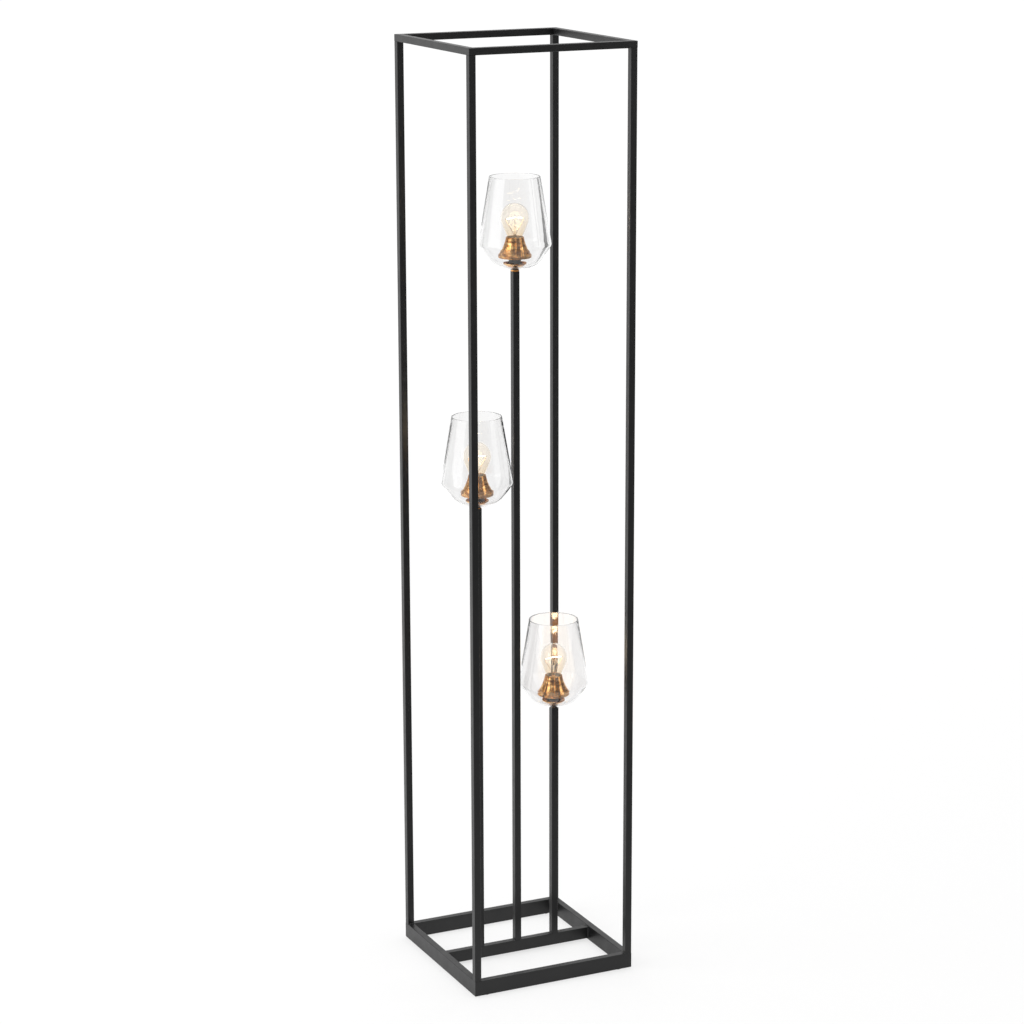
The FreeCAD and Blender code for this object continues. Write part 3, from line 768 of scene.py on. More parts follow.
@dataclass
class Cage:
    """The welded cage, its posts and the small fittings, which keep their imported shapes."""

    bead: float = 0.0011
    bead_ripple: float = 0.00016
    ripple_pitch: float = 0.0016
    runs_per_ripple: int = 5
    least_runs: int = 8
    bead_steps: int = 4
    bead_hollow: float = 0.22
    end_size: float = 0.35
    end_growth: float = 6.0
    tube_corner: float = 0.0008
    sunk: float = 0.00006

    def dress(self, coats: Coats) -> None:
        """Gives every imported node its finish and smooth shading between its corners.

        Args:
            coats: the lamp's finishes.
        """
        slots = {p["node"]: p["material_slot"] for p in frame["record"]["subparts"]}
        shading = self.soft_shading()
        for name, obj in frame["nodes"].items():
            for slot in obj.material_slots:
                slot.material = coats[slots[name]]
            modifier = obj.modifiers.new("smooth_between_corners", "NODES")
            modifier.node_group = shading
            log.info("%s: packed shape, %s", name, slots[name])

    def soft_shading(self) -> bpy.types.NodeTree:
        """A modifier's nodes that shade faces smooth and keep sharp corners.

        Returns:
            The node group.
        """
        tree = bpy.data.node_groups.new("smooth_between_corners", "GeometryNodeTree")
        for way in ("INPUT", "OUTPUT"):
            tree.interface.new_socket("Geometry", in_out=way, socket_type="NodeSocketGeometry")
        wiring, smooth = Wiring(tree), "GeometryNodeSetShadeSmooth"
        entry = wiring.node("NodeGroupInput").outputs[0]
        angle = wiring.node("GeometryNodeInputMeshEdgeAngle").outputs["Unsigned Angle"]
        steep = wiring.node(
            "FunctionNodeCompare", {"A": angle, "B": CREASE},
            data_type="FLOAT", operation="GREATER_THAN",
        )
        faces = wiring.node(smooth, {"Geometry": entry}, domain="FACE").outputs[0]
        corners = {"Geometry": faces, "Selection": steep.outputs["Result"], "Shade Smooth": False}
        edges = wiring.node(smooth, corners, domain="EDGE").outputs[0]
        wiring.node("NodeGroupOutput", {0: edges})
        return tree

    def seam(self, start: Vector, end: Vector, out: Vector, up: Vector) -> Mesh:
        """One painted weld bead in the corner between two tubes.

        Args:
            start: where it starts, on the corner line.
            end: where it ends.
            out: direction along the first tube's face, away from the corner.
            up: direction along the second tube's face, away from the corner.

        Returns:
            The bead's mesh, in the model's own place.
        """
        ripples = (end - start).length / self.ripple_pitch
        count = max(self.least_runs, round(ripples * self.runs_per_ripple))
        points: list[Vector] = []
        for i in range(count + 1):
            t = i / count
            at = start.lerp(end, t) - (out + up) * self.sunk
            points.append(at)
            leg = self.bead + self.bead_ripple * math.sin(math.tau * t * ripples)
            leg *= min(1.0, self.end_size + self.end_growth * min(t, 1 - t))
            for k in range(self.bead_steps + 1):
                angle = math.pi / 2 * k / self.bead_steps
                bulge = 1.0 - self.bead_hollow * math.sin(2 * angle)
                points.append(at + (out * math.cos(angle) + up * math.sin(angle)) * leg * bulge)
        return dressed_mesh(points, rod_faces(count, self.bead_steps + 2))

    def corner_seams(self) -> list[Mesh]:
        """Makes the beads where the uprights meet the base ring and the top ring.

        Returns:
            Their meshes.
        """
        beads = []
        for corner in ("front_left", "front_right", "rear_left", "rear_right"):
            low, high = (Vector(p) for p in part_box(f"upright_{corner}"))
            middle = (low + high) / 2
            inset = (high.x - low.x) / 2 - self.tube_corner
            for level, rise in ((low.z, UP), (high.z, -UP)):
                for axis in (0, 1):
                    side, across = Vector(), Vector()
                    side[axis] = -math.copysign(1, middle[axis])
                    across[1 - axis] = inset
                    face = middle + side * (high[axis] - low[axis]) / 2
                    face.z = level
                    beads.append(self.seam(face - across, face + across, side, rise))
        return beads

    def post_seams(self) -> list[Mesh]:
        """Makes the beads at the feet of the lamp posts and at the ends of the cross bar.

        Returns:
            Their meshes.
        """
        beads = []
        for site in Site:
            low, high = (Vector(p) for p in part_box(f"lamp_post_{site.value}"))
            inset = Vector((0, (high.y - low.y) / 2 - self.tube_corner, 0))
            for x, side in ((low.x, -1), (high.x, 1)):
                face = Vector((x, 0, low.z))
                beads.append(self.seam(face - inset, face + inset, Vector((side, 0, 0)), UP))
        low, high = (Vector(p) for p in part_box("base_cross_bar"))
        inset = Vector((0, high.y - self.tube_corner, 0))
        for x, side in ((low.x, 1), (high.x, -1)):
            away = Vector((side, 0, 0))
            top = Vector((x, 0, high.z))
            beads.append(self.seam(top - inset, top + inset, away, UP))
            for y, way in ((low.y, -1), (high.y, 1)):
                foot = Vector((x, y, low.z + self.tube_corner))
                head = Vector((x, y, high.z - self.tube_corner))
                beads.append(self.seam(foot, head, away, Vector((0, way, 0))))
        return beads

    def weld(self, coats: Coats) -> None:
        """Adds the painted weld beads.

        Args:
            coats: the lamp's finishes.
        """
        slot = "black_metal"
        for kind, beads in (("corner", self.corner_seams()), ("post", self.post_seams())):
            name = f"{kind}_weld_beads"
            mesh = joined([(bead, 0) for bead in beads])
            Piece(name, STAND, slot, Vector()).add(mesh, coats[slot])


@dataclass
class GlassShade(Fitting):
    """A blown tulip glass: flat bottom, bowl, soft belly and walls that draw in to the rim."""

    prefix = "tulip"
    hole: float = 0.005
    hole_round: float = 0.0004
    base: float = 0.0025
    bowl_radius: float = 0.040
    bowl_slope: float = 56.0
    belly_radius: float = 0.0575
    belly_height: float = 0.038
    rim_radius: float = 0.040
    height: float = 0.145
    wall: float = 0.002
    belly_round: float = 0.008
    polish: float = 0.0009
    bowl_steps: tuple[int, int] = (18, 14)
    round_steps: int = 8
    segments: int = 160

    def outline(self) -> list[Pair]:
        """Draws the glass wall.

        Returns:
            Its closed outline.
        """
        slope = math.radians(self.bowl_slope)
        slant = self.belly_radius - self.belly_height / math.tan(slope)
        middle = (slant - self.bowl_radius * math.tan(slope / 2), self.bowl_radius)
        inner = self.bowl_radius - self.wall
        floor = math.degrees(math.asin((self.bowl_radius - self.base) / inner))
        end = self.bowl_slope - 90
        corners = [
            (self.hole, 0.0, self.hole_round),
            *sharp(arc(middle, self.bowl_radius, -90, end, self.bowl_steps[0])),
            (self.belly_radius, self.belly_height, self.belly_round),
            (self.rim_radius, self.height, self.polish),
            (self.rim_radius - self.wall, self.height, self.polish),
            (self.belly_radius - self.wall, self.belly_height, self.belly_round - self.wall),
            *sharp(arc(middle, inner, end, -floor, self.bowl_steps[1])),
            (self.hole, self.base, self.hole_round),
        ]
        return rounded(corners, self.round_steps)

    def parts(self) -> list[Part]:
        """The glass as one piece."""
        return [Part("glass_shade", "clear_glass", turned(self.outline(), self.segments))]


@dataclass
class BrassFittings(Fitting):
    """The turned and pressed brass of one lamp: collar, cup and flared cone."""

    prefix = "turned"
    bore: float = 0.0041
    collar_radius: float = 0.0062
    collar_top: float = 0.0082
    collar_low: float = -0.0038
    collar_high: float = -0.0008
    cup_foot: float = 0.0033
    cup_floor: float = 0.013
    cup_rim: float = 0.0185
    cup_tall: float = 0.0065
    cup_sheet: float = 0.001
    cup_lip: float = 0.002
    cone_foot: float = 0.0185
    cone_top: float = 0.050
    cone_rim: float = 0.0263
    cone_band: float = 0.004
    cone_step: float = 0.0004
    cone_top_radius: float = 0.014
    cone_sheet: float = 0.0008
    cone_bow: float = 0.065
    shelf_radius: float = 0.0124
    flank_steps: int = 20
    segments: int = 128

    def collar(self) -> list[Pair]:
        """Draws the collar, which widens towards the glass.

        Returns:
            Its closed outline.
        """
        return rounded([
            (self.bore, self.collar_low, 0.0002),
            (self.collar_radius, self.collar_low, 0.0005),
            (self.collar_top, self.collar_high, 0.0006),
            (self.bore, self.collar_high, 0.0002),
        ])

    def cup(self) -> list[Pair]:
        """Draws the cup: a flat floor, a rising side and an upright lip.

        Returns:
            Its closed outline.
        """
        rim, sheet = self.cup_foot + self.cup_tall, self.cup_sheet
        shoulder = rim - self.cup_lip
        return rounded([
            (self.bore, self.cup_foot, 0.0),
            (self.cup_floor, self.cup_foot, 0.0022),
            (self.cup_rim, shoulder, 0.0016),
            (self.cup_rim, rim, sheet * 0.45),
            (self.cup_rim - sheet, rim, sheet * 0.45),
            (self.cup_rim - sheet, shoulder + sheet / 2, 0.0010),
            (self.cup_floor - sheet / 2, self.cup_foot + sheet, 0.0014),
            (self.bore, self.cup_foot + sheet, 0.0),
        ])

    def flank(self, low: Pair, high: Pair, radius: float) -> list[Pair]:
        """Points up one hollow side of the cone.

        Args:
            low: radius and height of its lower end.
            high: radius and height of its upper end.
            radius: radius of its hollow.

        Returns:
            The points from the lower end to the upper one.
        """
        start, end = Vector(low), Vector(high)
        run = end - start
        off = Vector((-run.y, run.x)).normalized()
        if off.x < 0:
            off = -off
        centre = (start + end) / 2 + off * math.sqrt(radius**2 - (run.length / 2) ** 2)
        angles = (math.atan2(p.y - centre.y, p.x - centre.x) for p in (start, end))
        first, last = (math.degrees(angle) % 360 for angle in angles)
        return arc((centre.x, centre.y), radius, first, last, self.flank_steps)

    def cone(self) -> list[Pair]:
        """Draws the cone: a band at its rim, hollow sides and a shelf at its top.

        Returns:
            Its closed outline.
        """
        band, sheet, top = self.cone_foot + self.cone_band, self.cone_sheet, self.cone_top
        foot, neck = self.cone_rim - self.cone_step, self.cone_top_radius
        outside = self.flank((foot, band), (neck, top), self.cone_bow)
        inside = self.flank((foot - sheet, band), (neck - sheet, top - sheet), self.cone_bow + sheet)
        return rounded([
            (self.cone_rim - sheet, self.cone_foot, sheet * 0.4),
            (self.cone_rim, self.cone_foot, sheet * 0.5),
            (self.cone_rim, band, 0.0003),
            *sharp(outside[:-1]),
            (neck, top, 0.0006),
            (self.shelf_radius, top, sheet * 0.4),
            (self.shelf_radius, top - sheet, sheet * 0.3),
            *sharp(inside[::-1]),
            (self.cone_rim - sheet, band, 0.0001),
        ])

    def parts(self) -> list[Part]:
        """The collar, the cup and the cone."""
        shapes = {"brass_collar": self.collar, "brass_cup": self.cup, "brass_cone": self.cone}
        return [Part(kind, "brass", turned(draw(), self.segments)) for kind, draw in shapes.items()]


@dataclass
class Lampholder(Fitting):
    """The black lampholder of one lamp: a ribbed base cap and the socket body screwed into it."""

    prefix = "moulded"
    bore: float = 0.00405
    foot: float = 0.0083
    joint: float = 0.016
    top: float = 0.0492
    foot_radius: float = 0.0086
    joint_radius: float = 0.0104
    shoulder: float = 0.004
    radius: float = 0.0125
    base_wall: float = 0.002
    base_floor: float = 0.003
    spigot: float = 0.003
    play: float = 0.0001
    room_radius: float = 0.0064
    room_deep: float = 0.0045
    floor: float = 0.004
    rim_radius: float = 0.0129
    rim_tall: float = 0.003
    socket_radius: float = 0.0077
    mouth_radius: float = 0.0094
    mouth_deep: float = 0.0072
    mouth_flare: float = 0.0042
    mouth_lip: float = 0.012
    ribs: int = 36
    rib_deep: float = 0.0003
    rib_clear: float = 0.001
    side_steps: int = 10
    base_segments: int = 288
    body_segments: int = 96

    def rib(self, angle: float, radius: float, height: float) -> float:
        """How far the base cap's side is drawn in between its grip ribs.

        Args:
            angle: where round the cap.
            radius: the plain radius there.
            height: the height there.

        Returns:
            The shift outwards, never above zero.
        """
        low, high = self.foot + self.rib_clear, self.joint - self.rib_clear
        if radius < self.foot_radius or not low < height < high:
            return 0.0
        return -self.rib_deep * (0.5 - 0.5 * math.cos(angle * self.ribs))

    def base_cap(self) -> list[Pair]:
        """Draws the base cap, with steps along its side for the ribs.

        Returns:
            Its closed outline.
        """
        inner, steps = self.joint_radius - self.base_wall, self.side_steps
        low, high = Vector((self.foot_radius, self.foot)), Vector((self.joint_radius, self.joint))
        return rounded([
            (self.bore, self.foot, 0.0),
            (*low, 0.0005),
            *sharp(low.lerp(high, i / steps) for i in range(1, steps)),
            (*high, 0.0003),
            (inner, self.joint, 0.0002),
            (inner, self.foot + self.base_floor, 0.0004),
            (self.bore, self.foot + self.base_floor, 0.0),
        ])

    def socket_body(self) -> list[Pair]:
        """Draws the socket body, from its spigot to its flared mouth.

        Returns:
            Its closed outline.
        """
        spigot, low = self.joint_radius - self.base_wall - self.play, self.joint - self.spigot
        rim, bottom = self.top - self.rim_tall, self.top - self.mouth_deep
        floor, ceiling = self.joint + self.floor, low + self.room_deep
        return rounded([
            (self.room_radius, low, 0.0002),
            (spigot, low, 0.0003),
            (spigot, self.joint, 0.0001),
            (self.joint_radius, self.joint, 0.0003),
            (self.radius, self.joint + self.shoulder, 0.0015),
            (self.radius, rim, 0.0002),
            (self.rim_radius, rim, 0.0003),
            (self.rim_radius, self.top, 0.0004),
            (self.mouth_lip, self.top, 0.0003),
            (self.mouth_radius, self.top - self.mouth_flare, 0.0008),
            (self.mouth_radius, bottom, 0.0002),
            (self.socket_radius, bottom, 0.0003),
            (self.socket_radius, floor, 0.0003),
            (0.0, floor, 0.0),
            (0.0, ceiling, 0.0),
            (self.room_radius, ceiling, 0.0003),
        ])

    def parts(self) -> list[Part]:
        """Turns the base cap and the socket body.

        Returns:
            The two parts.
        """
        cap = turned(self.base_cap(), self.base_segments, self.rib)
        body = turned(self.socket_body(), self.body_segments)
        slot = "black_plastic"
        return [Part("holder_base", slot, cap), Part("holder_body", slot, body)]


@dataclass
class Bulb(Fitting):
    """A clear golf-ball bulb with a small screw cap, measured up from its tip."""

    prefix = "round"
    glass_segments: int = 112
    cap_segments: int = 80
    contact_segments: int = 64
    tip_segments: int = 48
    stem_segments: int = 48
    tip_radius: float = 0.0022
    tip_tall: float = 0.001
    tip_steps: int = 6
    insulator_radius: float = 0.0049
    insulator_top: float = 0.005
    cap_radius: float = 0.0069
    cap_sheet: float = 0.0004
    cap_low: float = 0.0035
    cap_top: float = 0.0245
    cap_flare: float = 0.0035
    cap_steps: int = 44
    step_start: float = 0.001
    step_margin: float = 0.0016
    flare_radius: float = 0.0086
    thread_pitch: float = 0.00282
    thread_deep: float = 0.0005
    thread_low: float = 0.0055
    thread_high: float = 0.0190
    play: float = 0.0001
    neck_low: float = 0.0225
    shoulder: float = 0.029
    shoulder_round: float = 0.012
    neck_slope: float = 23.5
    ball_radius: float = 0.0225
    ball_centre: float = 0.0585
    ball_steps: int = 34
    round_steps: int = 6
    wall: float = 0.0008
    stem_waist_radius: float = 0.003
    stem_waist: float = 0.031
    stem_rod: float = 0.0016
    stem_top: float = 0.045
    bead_tall: float = 0.0035
    wire_radius: float = 0.00035
    wire_spread: float = 0.015
    wire_root: float = 0.003
    wire_bends: tuple[Pair, Pair] = ((0.62, 0.011), (0.97, 0.003))
    crimp: Pair = (-0.0006, 0.0008)
    crimp_share: float = 1.25
    crimp_sides: int = 12
    prop_share: float = 0.7
    prop_sunk: float = 0.0005
    coil_radius: float = 0.0005
    coil_wire: float = 0.00013
    coil_height: float = 0.057
    coil_rise: float = 0.0015
    coil_turns: int = 46
    coil_steps: int = 9
    coil_sides: int = 6

    def neck_radius(self, height: float) -> float:
        """The glass's outer radius where it sits in the flare of the cap.

        Args:
            height: the height there.

        Returns:
            The radius.
        """
        share = (height - self.cap_top + self.cap_flare) / self.cap_flare
        metal = self.cap_radius + (self.flare_radius - self.cap_radius) * share
        return metal - self.cap_sheet - self.play

    def glass_shoulder(self, ball: float) -> Triple:
        """The corner where the neck turns into the straight flank below the ball.

        Args:
            ball: the ball's radius, inside or outside.

        Returns:
            The corner, with its rounding.
        """
        slope = math.radians(self.neck_slope)
        touch = (ball * math.cos(slope), self.ball_centre - ball * math.sin(slope))
        reach = touch[0] - math.tan(slope) * (touch[1] - self.shoulder)
        return reach, self.shoulder, self.shoulder_round

    def envelope(self) -> list[Pair]:
        """Draws the glass, outside up to the crown and inside back down.

        Returns:
            Its closed outline.
        """
        low, top = self.neck_radius(self.neck_low), self.neck_radius(self.cap_top)
        middle, inner = (0.0, self.ball_centre), self.ball_radius - self.wall
        outside = arc(middle, self.ball_radius, -self.neck_slope, 90, self.ball_steps)
        inside = arc(middle, inner, 90, -self.neck_slope, self.ball_steps)
        corners = [
            (low - self.wall, self.neck_low, self.wall * 0.3),
            (low, self.neck_low, self.wall * 0.3),
            (top, self.cap_top, 0.0006),
            self.glass_shoulder(self.ball_radius),
            *sharp(outside[:-1]),
            (0.0, self.ball_centre + self.ball_radius, 0.0),
            (0.0, self.ball_centre + inner, 0.0),
            *sharp(inside[1:]),
            self.glass_shoulder(inner),
            (top - self.wall, self.cap_top, 0.0006),
        ]
        return rounded(corners, self.round_steps)

    def thread(self, angle: float, radius: float, height: float) -> float:
        """How far the cap's wall is drawn in along its rolled screw thread.

        Args:
            angle: where round the cap.
            radius: the plain radius there.
            height: the height there.

        Returns:
            The shift outwards, never above zero.
        """
        low, high = self.cap_radius - self.cap_sheet - ON_AXIS, self.cap_radius + ON_AXIS
        if not low <= radius <= high:
            return 0.0
        fade = min(height - self.thread_low, self.thread_high - height) / self.thread_pitch * 2
        turn = height / self.thread_pitch - angle / math.tau
        wave = 0.5 - 0.5 * math.cos(math.tau * turn)
        return -self.thread_deep * wave * min(1.0, max(0.0, fade))

    def cap(self) -> list[Pair]:
        """Draws the cap's thin shell, finely stepped along its thread.

        Returns:
            Its closed outline.
        """
        low, flare, sheet = self.cap_low, self.cap_top - self.cap_flare, self.cap_sheet
        hole, inner = self.insulator_radius + self.play, self.cap_radius - sheet
        start, run, steps = low + self.step_start, flare - low - self.step_margin, self.cap_steps
        levels = [start + run * i / steps for i in range(steps + 1)]
        return rounded([
            (hole, low, 0.0),
            (self.cap_radius, low, 0.0006),
            *sharp((self.cap_radius, z) for z in levels),
            (self.cap_radius, flare, 0.0004),
            (self.flare_radius, self.cap_top, 0.0002),
            (self.flare_radius - sheet, self.cap_top, 0.0001),
            (inner, flare, 0.0004),
            *sharp((inner, z) for z in levels[::-1]),
            (inner, low + sheet, 0.0003),
            (hole, low + sheet, 0.0),
        ])

    def contact(self) -> Mesh:
        """Makes the black glass insulator with its domed solder point.

        Returns:
            The mesh, with the insulator's finish first.
        """
        insulator = rounded([
            (0.0, self.tip_tall, 0.0),
            (self.tip_radius, self.tip_tall, 0.0002),
            (self.insulator_radius, self.cap_low, 0.0006),
            (self.insulator_radius, self.insulator_top, 0.0002),
            (0.0, self.insulator_top, 0.0),
        ])
        angles = (math.pi / 2 * i / self.tip_steps for i in range(self.tip_steps + 1))
        dome = [(self.tip_radius * math.sin(a), self.tip_tall * (1 - math.cos(a))) for a in angles]
        tip = [*dome, (0.0, self.tip_tall)]
        meshes = (turned(insulator, self.contact_segments), turned(tip, self.tip_segments))
        return joined([(mesh, number) for number, mesh in enumerate(meshes)])

    def stem(self) -> list[Pair]:
        """Draws the glass stem: a trumpet foot, a pinch and a rod with a bead on top.

        Returns:
            Its closed outline.
        """
        foot = self.neck_radius(self.neck_low) - self.wall - self.play
        waist, top, rod = self.stem_waist, self.stem_top, self.stem_rod
        return rounded([
            (0.0, self.neck_low, 0.0),
            (foot, self.neck_low, 0.0002),
            (self.stem_waist_radius * 1.25, waist - 0.0035, 0.006),
            (self.stem_waist_radius, waist, 0.0008),
            (rod, waist + 0.0012, 0.0008),
            (rod * 0.8, top - self.bead_tall, 0.0006),
            (rod, top - 0.0015, 0.0010),
            (rod * 0.8, top, 0.0006),
            (0.0, top, 0.0),
        ])

    def lead(self, side: int) -> list[Vector]:
        """The line of one lead wire, from the stem's waist to its end of the coil.

        Args:
            side: -1 or 1.

        Returns:
            The line's points.
        """
        root = (self.stem_waist_radius + self.stem_rod) / 2
        head = self.coil_height - self.coil_radius
        bends = ((self.wire_spread * share, head - drop) for share, drop in self.wire_bends)
        knots = (
            (root, self.stem_waist), (root, self.stem_waist + self.wire_root), *bends,
            (self.wire_spread, head + self.coil_radius),
        )
        return smooth_line([Vector((side * x, 0, z)) for x, z in knots])

    def coil(self, crest: float) -> list[Vector]:
        """The line of the coiled wire, which hangs from its middle.

        Args:
            crest: the height of its middle.

        Returns:
            The line's points.
        """
        runs = self.coil_turns * self.coil_steps
        reach = self.coil_radius - self.coil_wire
        line = []
        for i in range(runs + 1):
            t = i / runs * 2 - 1
            angle = math.tau * i / self.coil_steps
            level = crest - self.coil_rise * abs(t) + math.sin(angle) * reach
            line.append(Vector((t * self.wire_spread, math.cos(angle) * reach, level)))
        return line

    def filament(self) -> Mesh:
        """Makes the lead wires, their crimps, the prop and the coil that hangs on them.

        Returns:
            The mesh, with the wires' finish first.
        """
        parts: list[tuple[Mesh, int]] = []
        for side in (-1, 1):
            parts.append((swept(self.lead(side), self.wire_radius), 0))
            ends = (side * (self.wire_spread + d) for d in self.crimp)
            crimp = [Vector((x, 0, self.coil_height)) for x in ends]
            thick = self.coil_radius * self.crimp_share
            parts.append((swept(crimp, thick, self.crimp_sides), 0))
        crest = self.coil_height + self.coil_rise
        heights = (self.stem_top - self.prop_sunk, crest - self.coil_radius)
        prop = [Vector((0, 0, z)) for z in heights]
        parts.append((swept(prop, self.wire_radius * self.prop_share), 0))
        parts.append((swept(self.coil(crest), self.coil_wire, self.coil_sides), 1))
        return joined(parts)

    def hold(self, site: Site) -> tuple[str, Vector]:
        """The body that lifts out with the bulb, and the bulb's place."""
        return site.bulb_body(), site.bulb_foot()

    def parts(self) -> list[Part]:
        """Makes the glass, the cap, the contact, the stem and the filament.

        Returns:
            The five parts.
        """
        glass, stem = self.envelope(), self.stem()
        return [
            Part("bulb_glass", "bulb_glass", turned(glass, self.glass_segments)),
            Part("bulb_cap", "bulb_cap", turned(self.cap(), self.cap_segments, self.thread)),
            Part("bulb_contact", "bulb_contact", self.contact(), ("bulb_contact", "solder")),
            Part("bulb_stem", "bulb_glass", turned(stem, self.stem_segments)),
            Part("bulb_filament", "filament", self.filament(), ("lead_wire", "filament")),
        ]


@dataclass(frozen=True)
class Panel:
    """A soft upright panel beside the lamp, which shows in reflections only. Angles in degrees."""

    azimuth: float
    half_width: float
    fade: float
    strength: float

    def show(self, wiring: Wiring, level: Socket) -> Socket:
        """Its brightness by direction.

        Args:
            wiring: the node tree that it goes in.
            level: the level direction that it is read at.

        Returns:
            The socket that gives it.
        """
        angle = math.radians(self.azimuth)
        reach = wiring.along(level, (math.cos(angle), math.sin(angle), 0.0))
        edges = (self.half_width + self.fade, self.half_width)
        outer, inner = (math.cos(math.radians(edge)) for edge in edges)
        return wiring.spread(reach, 0.0, self.strength, outer, inner, soft=True)


@dataclass(frozen=True)
class SoftLamp:
    """One soft lamp of the studio: its name, where it hangs, how large and how strong it is."""

    name: str
    place: Triple
    spread: Spread
    power: float


@dataclass(frozen=True)
class Beam:
    """One part of the light that a bulb throws through its glass on a tube, by its height there."""

    rise: float
    half_tall: float
    soft: float = 0.4
    power: float = 150.0
    colour: Triple = (1.0, 0.76, 0.44)


@dataclass
class Studio:
    """The camera, the pale floor, the white surroundings and the soft lamps."""

    camera_place: Vector = Vector((-1.93799, -4.09260, 1.88390))
    camera_turn: float = -25.265
    camera_tilt: float = -14.05
    camera_roll: float = -0.195
    lens: float = 103.008
    sensor: float = 36.0
    sight: Pair = (0.05, 200.0)
    floor_side: float = 120.0
    floor_colour: Triple = (0.30, 0.30, 0.30)
    floor_white: Pair = (0.68, 0.87)
    floor_reach: Pair = (0.6, 6.5)
    floor_mirrored: float = 0.9
    bright_way: Triple = (-0.42, 0.90, 0.30)
    bright_side: float = 1.0
    dark_floor: float = 0.10
    dark_floor_reach: Pair = (-1.4, 1.0)
    dark_air: float = 0.30
    dark_air_reach: Pair = (-0.7, 0.55)
    fill: float = 0.55
    panels: tuple[Panel, ...] = (
        Panel(180.0, 14.0, 12.0, 1.5),
        Panel(-40.0, 8.0, 8.0, 1.5),
        Panel(-104.0, 4.0, 5.0, 1.0),
    )
    rows: tuple[Pair, ...] = (
        (0.0, 0.8), (0.20, 0.5), (0.34, 0.45), (0.44, 1.0), (0.54, 1.0), (0.64, 0.40),
        (0.86, 0.42), (0.95, 1.0),
    )
    row_gain: float = 1.3
    glass_depth: float = 2.5
    glass_bounces: int = 48
    lamps: tuple[SoftLamp, ...] = (
        SoftLamp("left_window", (-3.4, 0.4, 2.2), Spread.BROAD, 70.0),
        SoftLamp("overhead", (0.6, 0.8, 4.2), Spread.BROAD, 80.0),
        SoftLamp("right_fill", (3.2, -2.6, 2.4), Spread.MEDIUM, 12.0),
    )
    lamp_aim: Vector = Vector((0, 0, 0.75))
    glow_power: float = 0.06
    glow_colour: Triple = (1.0, 0.72, 0.42)
    glow_radius: float = 0.010
    beams: tuple[Beam, ...] = (
        Beam(-0.012, 0.044, 0.12, 22.0, (1.0, 0.34, 0.05)),
        Beam(-0.039, 0.008),
        Beam(-0.006, 0.008),
        Beam(0.027, 0.007),
    )
    beam_start: float = 1.2
    beam_radius: float = 0.002

    def aim_camera(self) -> None:
        """Adds the camera where the photograph was taken from."""
        data = bpy.data.cameras.new("camera")
        data.sensor_width, data.lens = self.sensor, self.lens
        data.clip_start, data.clip_end = self.sight
        obj = in_scene("camera", data)
        turn, tilt, roll = map(math.radians, (self.camera_turn, self.camera_tilt, self.camera_roll))
        level = Vector((math.cos(turn), math.sin(turn), 0))
        ahead = UP.cross(level) * math.cos(tilt) + UP * math.sin(tilt)
        above = level.cross(ahead)
        right = level * math.cos(roll) + above * math.sin(roll)
        top = above * math.cos(roll) - level * math.sin(roll)
        axes = Matrix((right, top, -ahead)).transposed()
        obj.matrix_world = Matrix.Translation(self.camera_place) @ axes.to_4x4()
        bpy.context.scene.camera = obj

    def sided(self, wiring: Wiring, where: Socket, dark: float, reach: Pair) -> Socket:
        """Brightness in reflections by side: bright behind and to the left, dark in front."""
        side = wiring.along(where, self.bright_way)
        return wiring.spread(side, dark, self.bright_side, *reach, soft=True)

    def panelled(self, wiring: Wiring, where: Socket) -> Socket:
        """Brightness in reflections by direction, with the soft panels that stand round the lamp.

        Args:
            wiring: the node tree that it goes in.
            where: the direction that it is read at.

        Returns:
            The socket that gives it.
        """
        flat = wiring.vector("MULTIPLY", where, (1.0, 1.0, 0.0)).outputs[0]
        level = wiring.vector("NORMALIZE", flat).outputs[0]
        total = self.sided(wiring, where, self.dark_air, self.dark_air_reach)
        for panel in self.panels:
            total = wiring.maths("ADD", total, panel.show(wiring, level))
        height = wiring.along(where, (0.0, 0.0, 1.0))
        rows = wiring.ramp(height, [(at, (share,) * 3) for at, share in self.rows])
        return wiring.maths("MULTIPLY", total, wiring.maths("MULTIPLY", rows, self.row_gain))

    def by_ray(self, wiring: Wiring, seen: Source, mirrored: Socket, rest: float) -> Socket:
        """Brightness by kind of ray.

        Args:
            wiring: the node tree that it goes in.
            seen: brightness as seen, straight or through glass.
            mirrored: brightness in reflections, also those seen through glass.
            rest: brightness for all other rays.

        Returns:
            The socket that gives it.
        """
        path = wiring.node("ShaderNodeLightPath").outputs
        bounced = wiring.maths("MINIMUM", path["Glossy Depth"], 1.0)
        beyond = wiring.maths("GREATER_THAN", path["Transmission Depth"], self.glass_depth)
        plain = wiring.maths("SUBTRACT", 1.0, wiring.maths("MULTIPLY", bounced, beyond))
        through = wiring.maths("MULTIPLY", path["Is Transmission Ray"], plain)
        shown = wiring.maths("MAXIMUM", path["Is Camera Ray"], through)
        return wiring.blend(shown, wiring.blend(path["Is Glossy Ray"], rest, mirrored), seen)

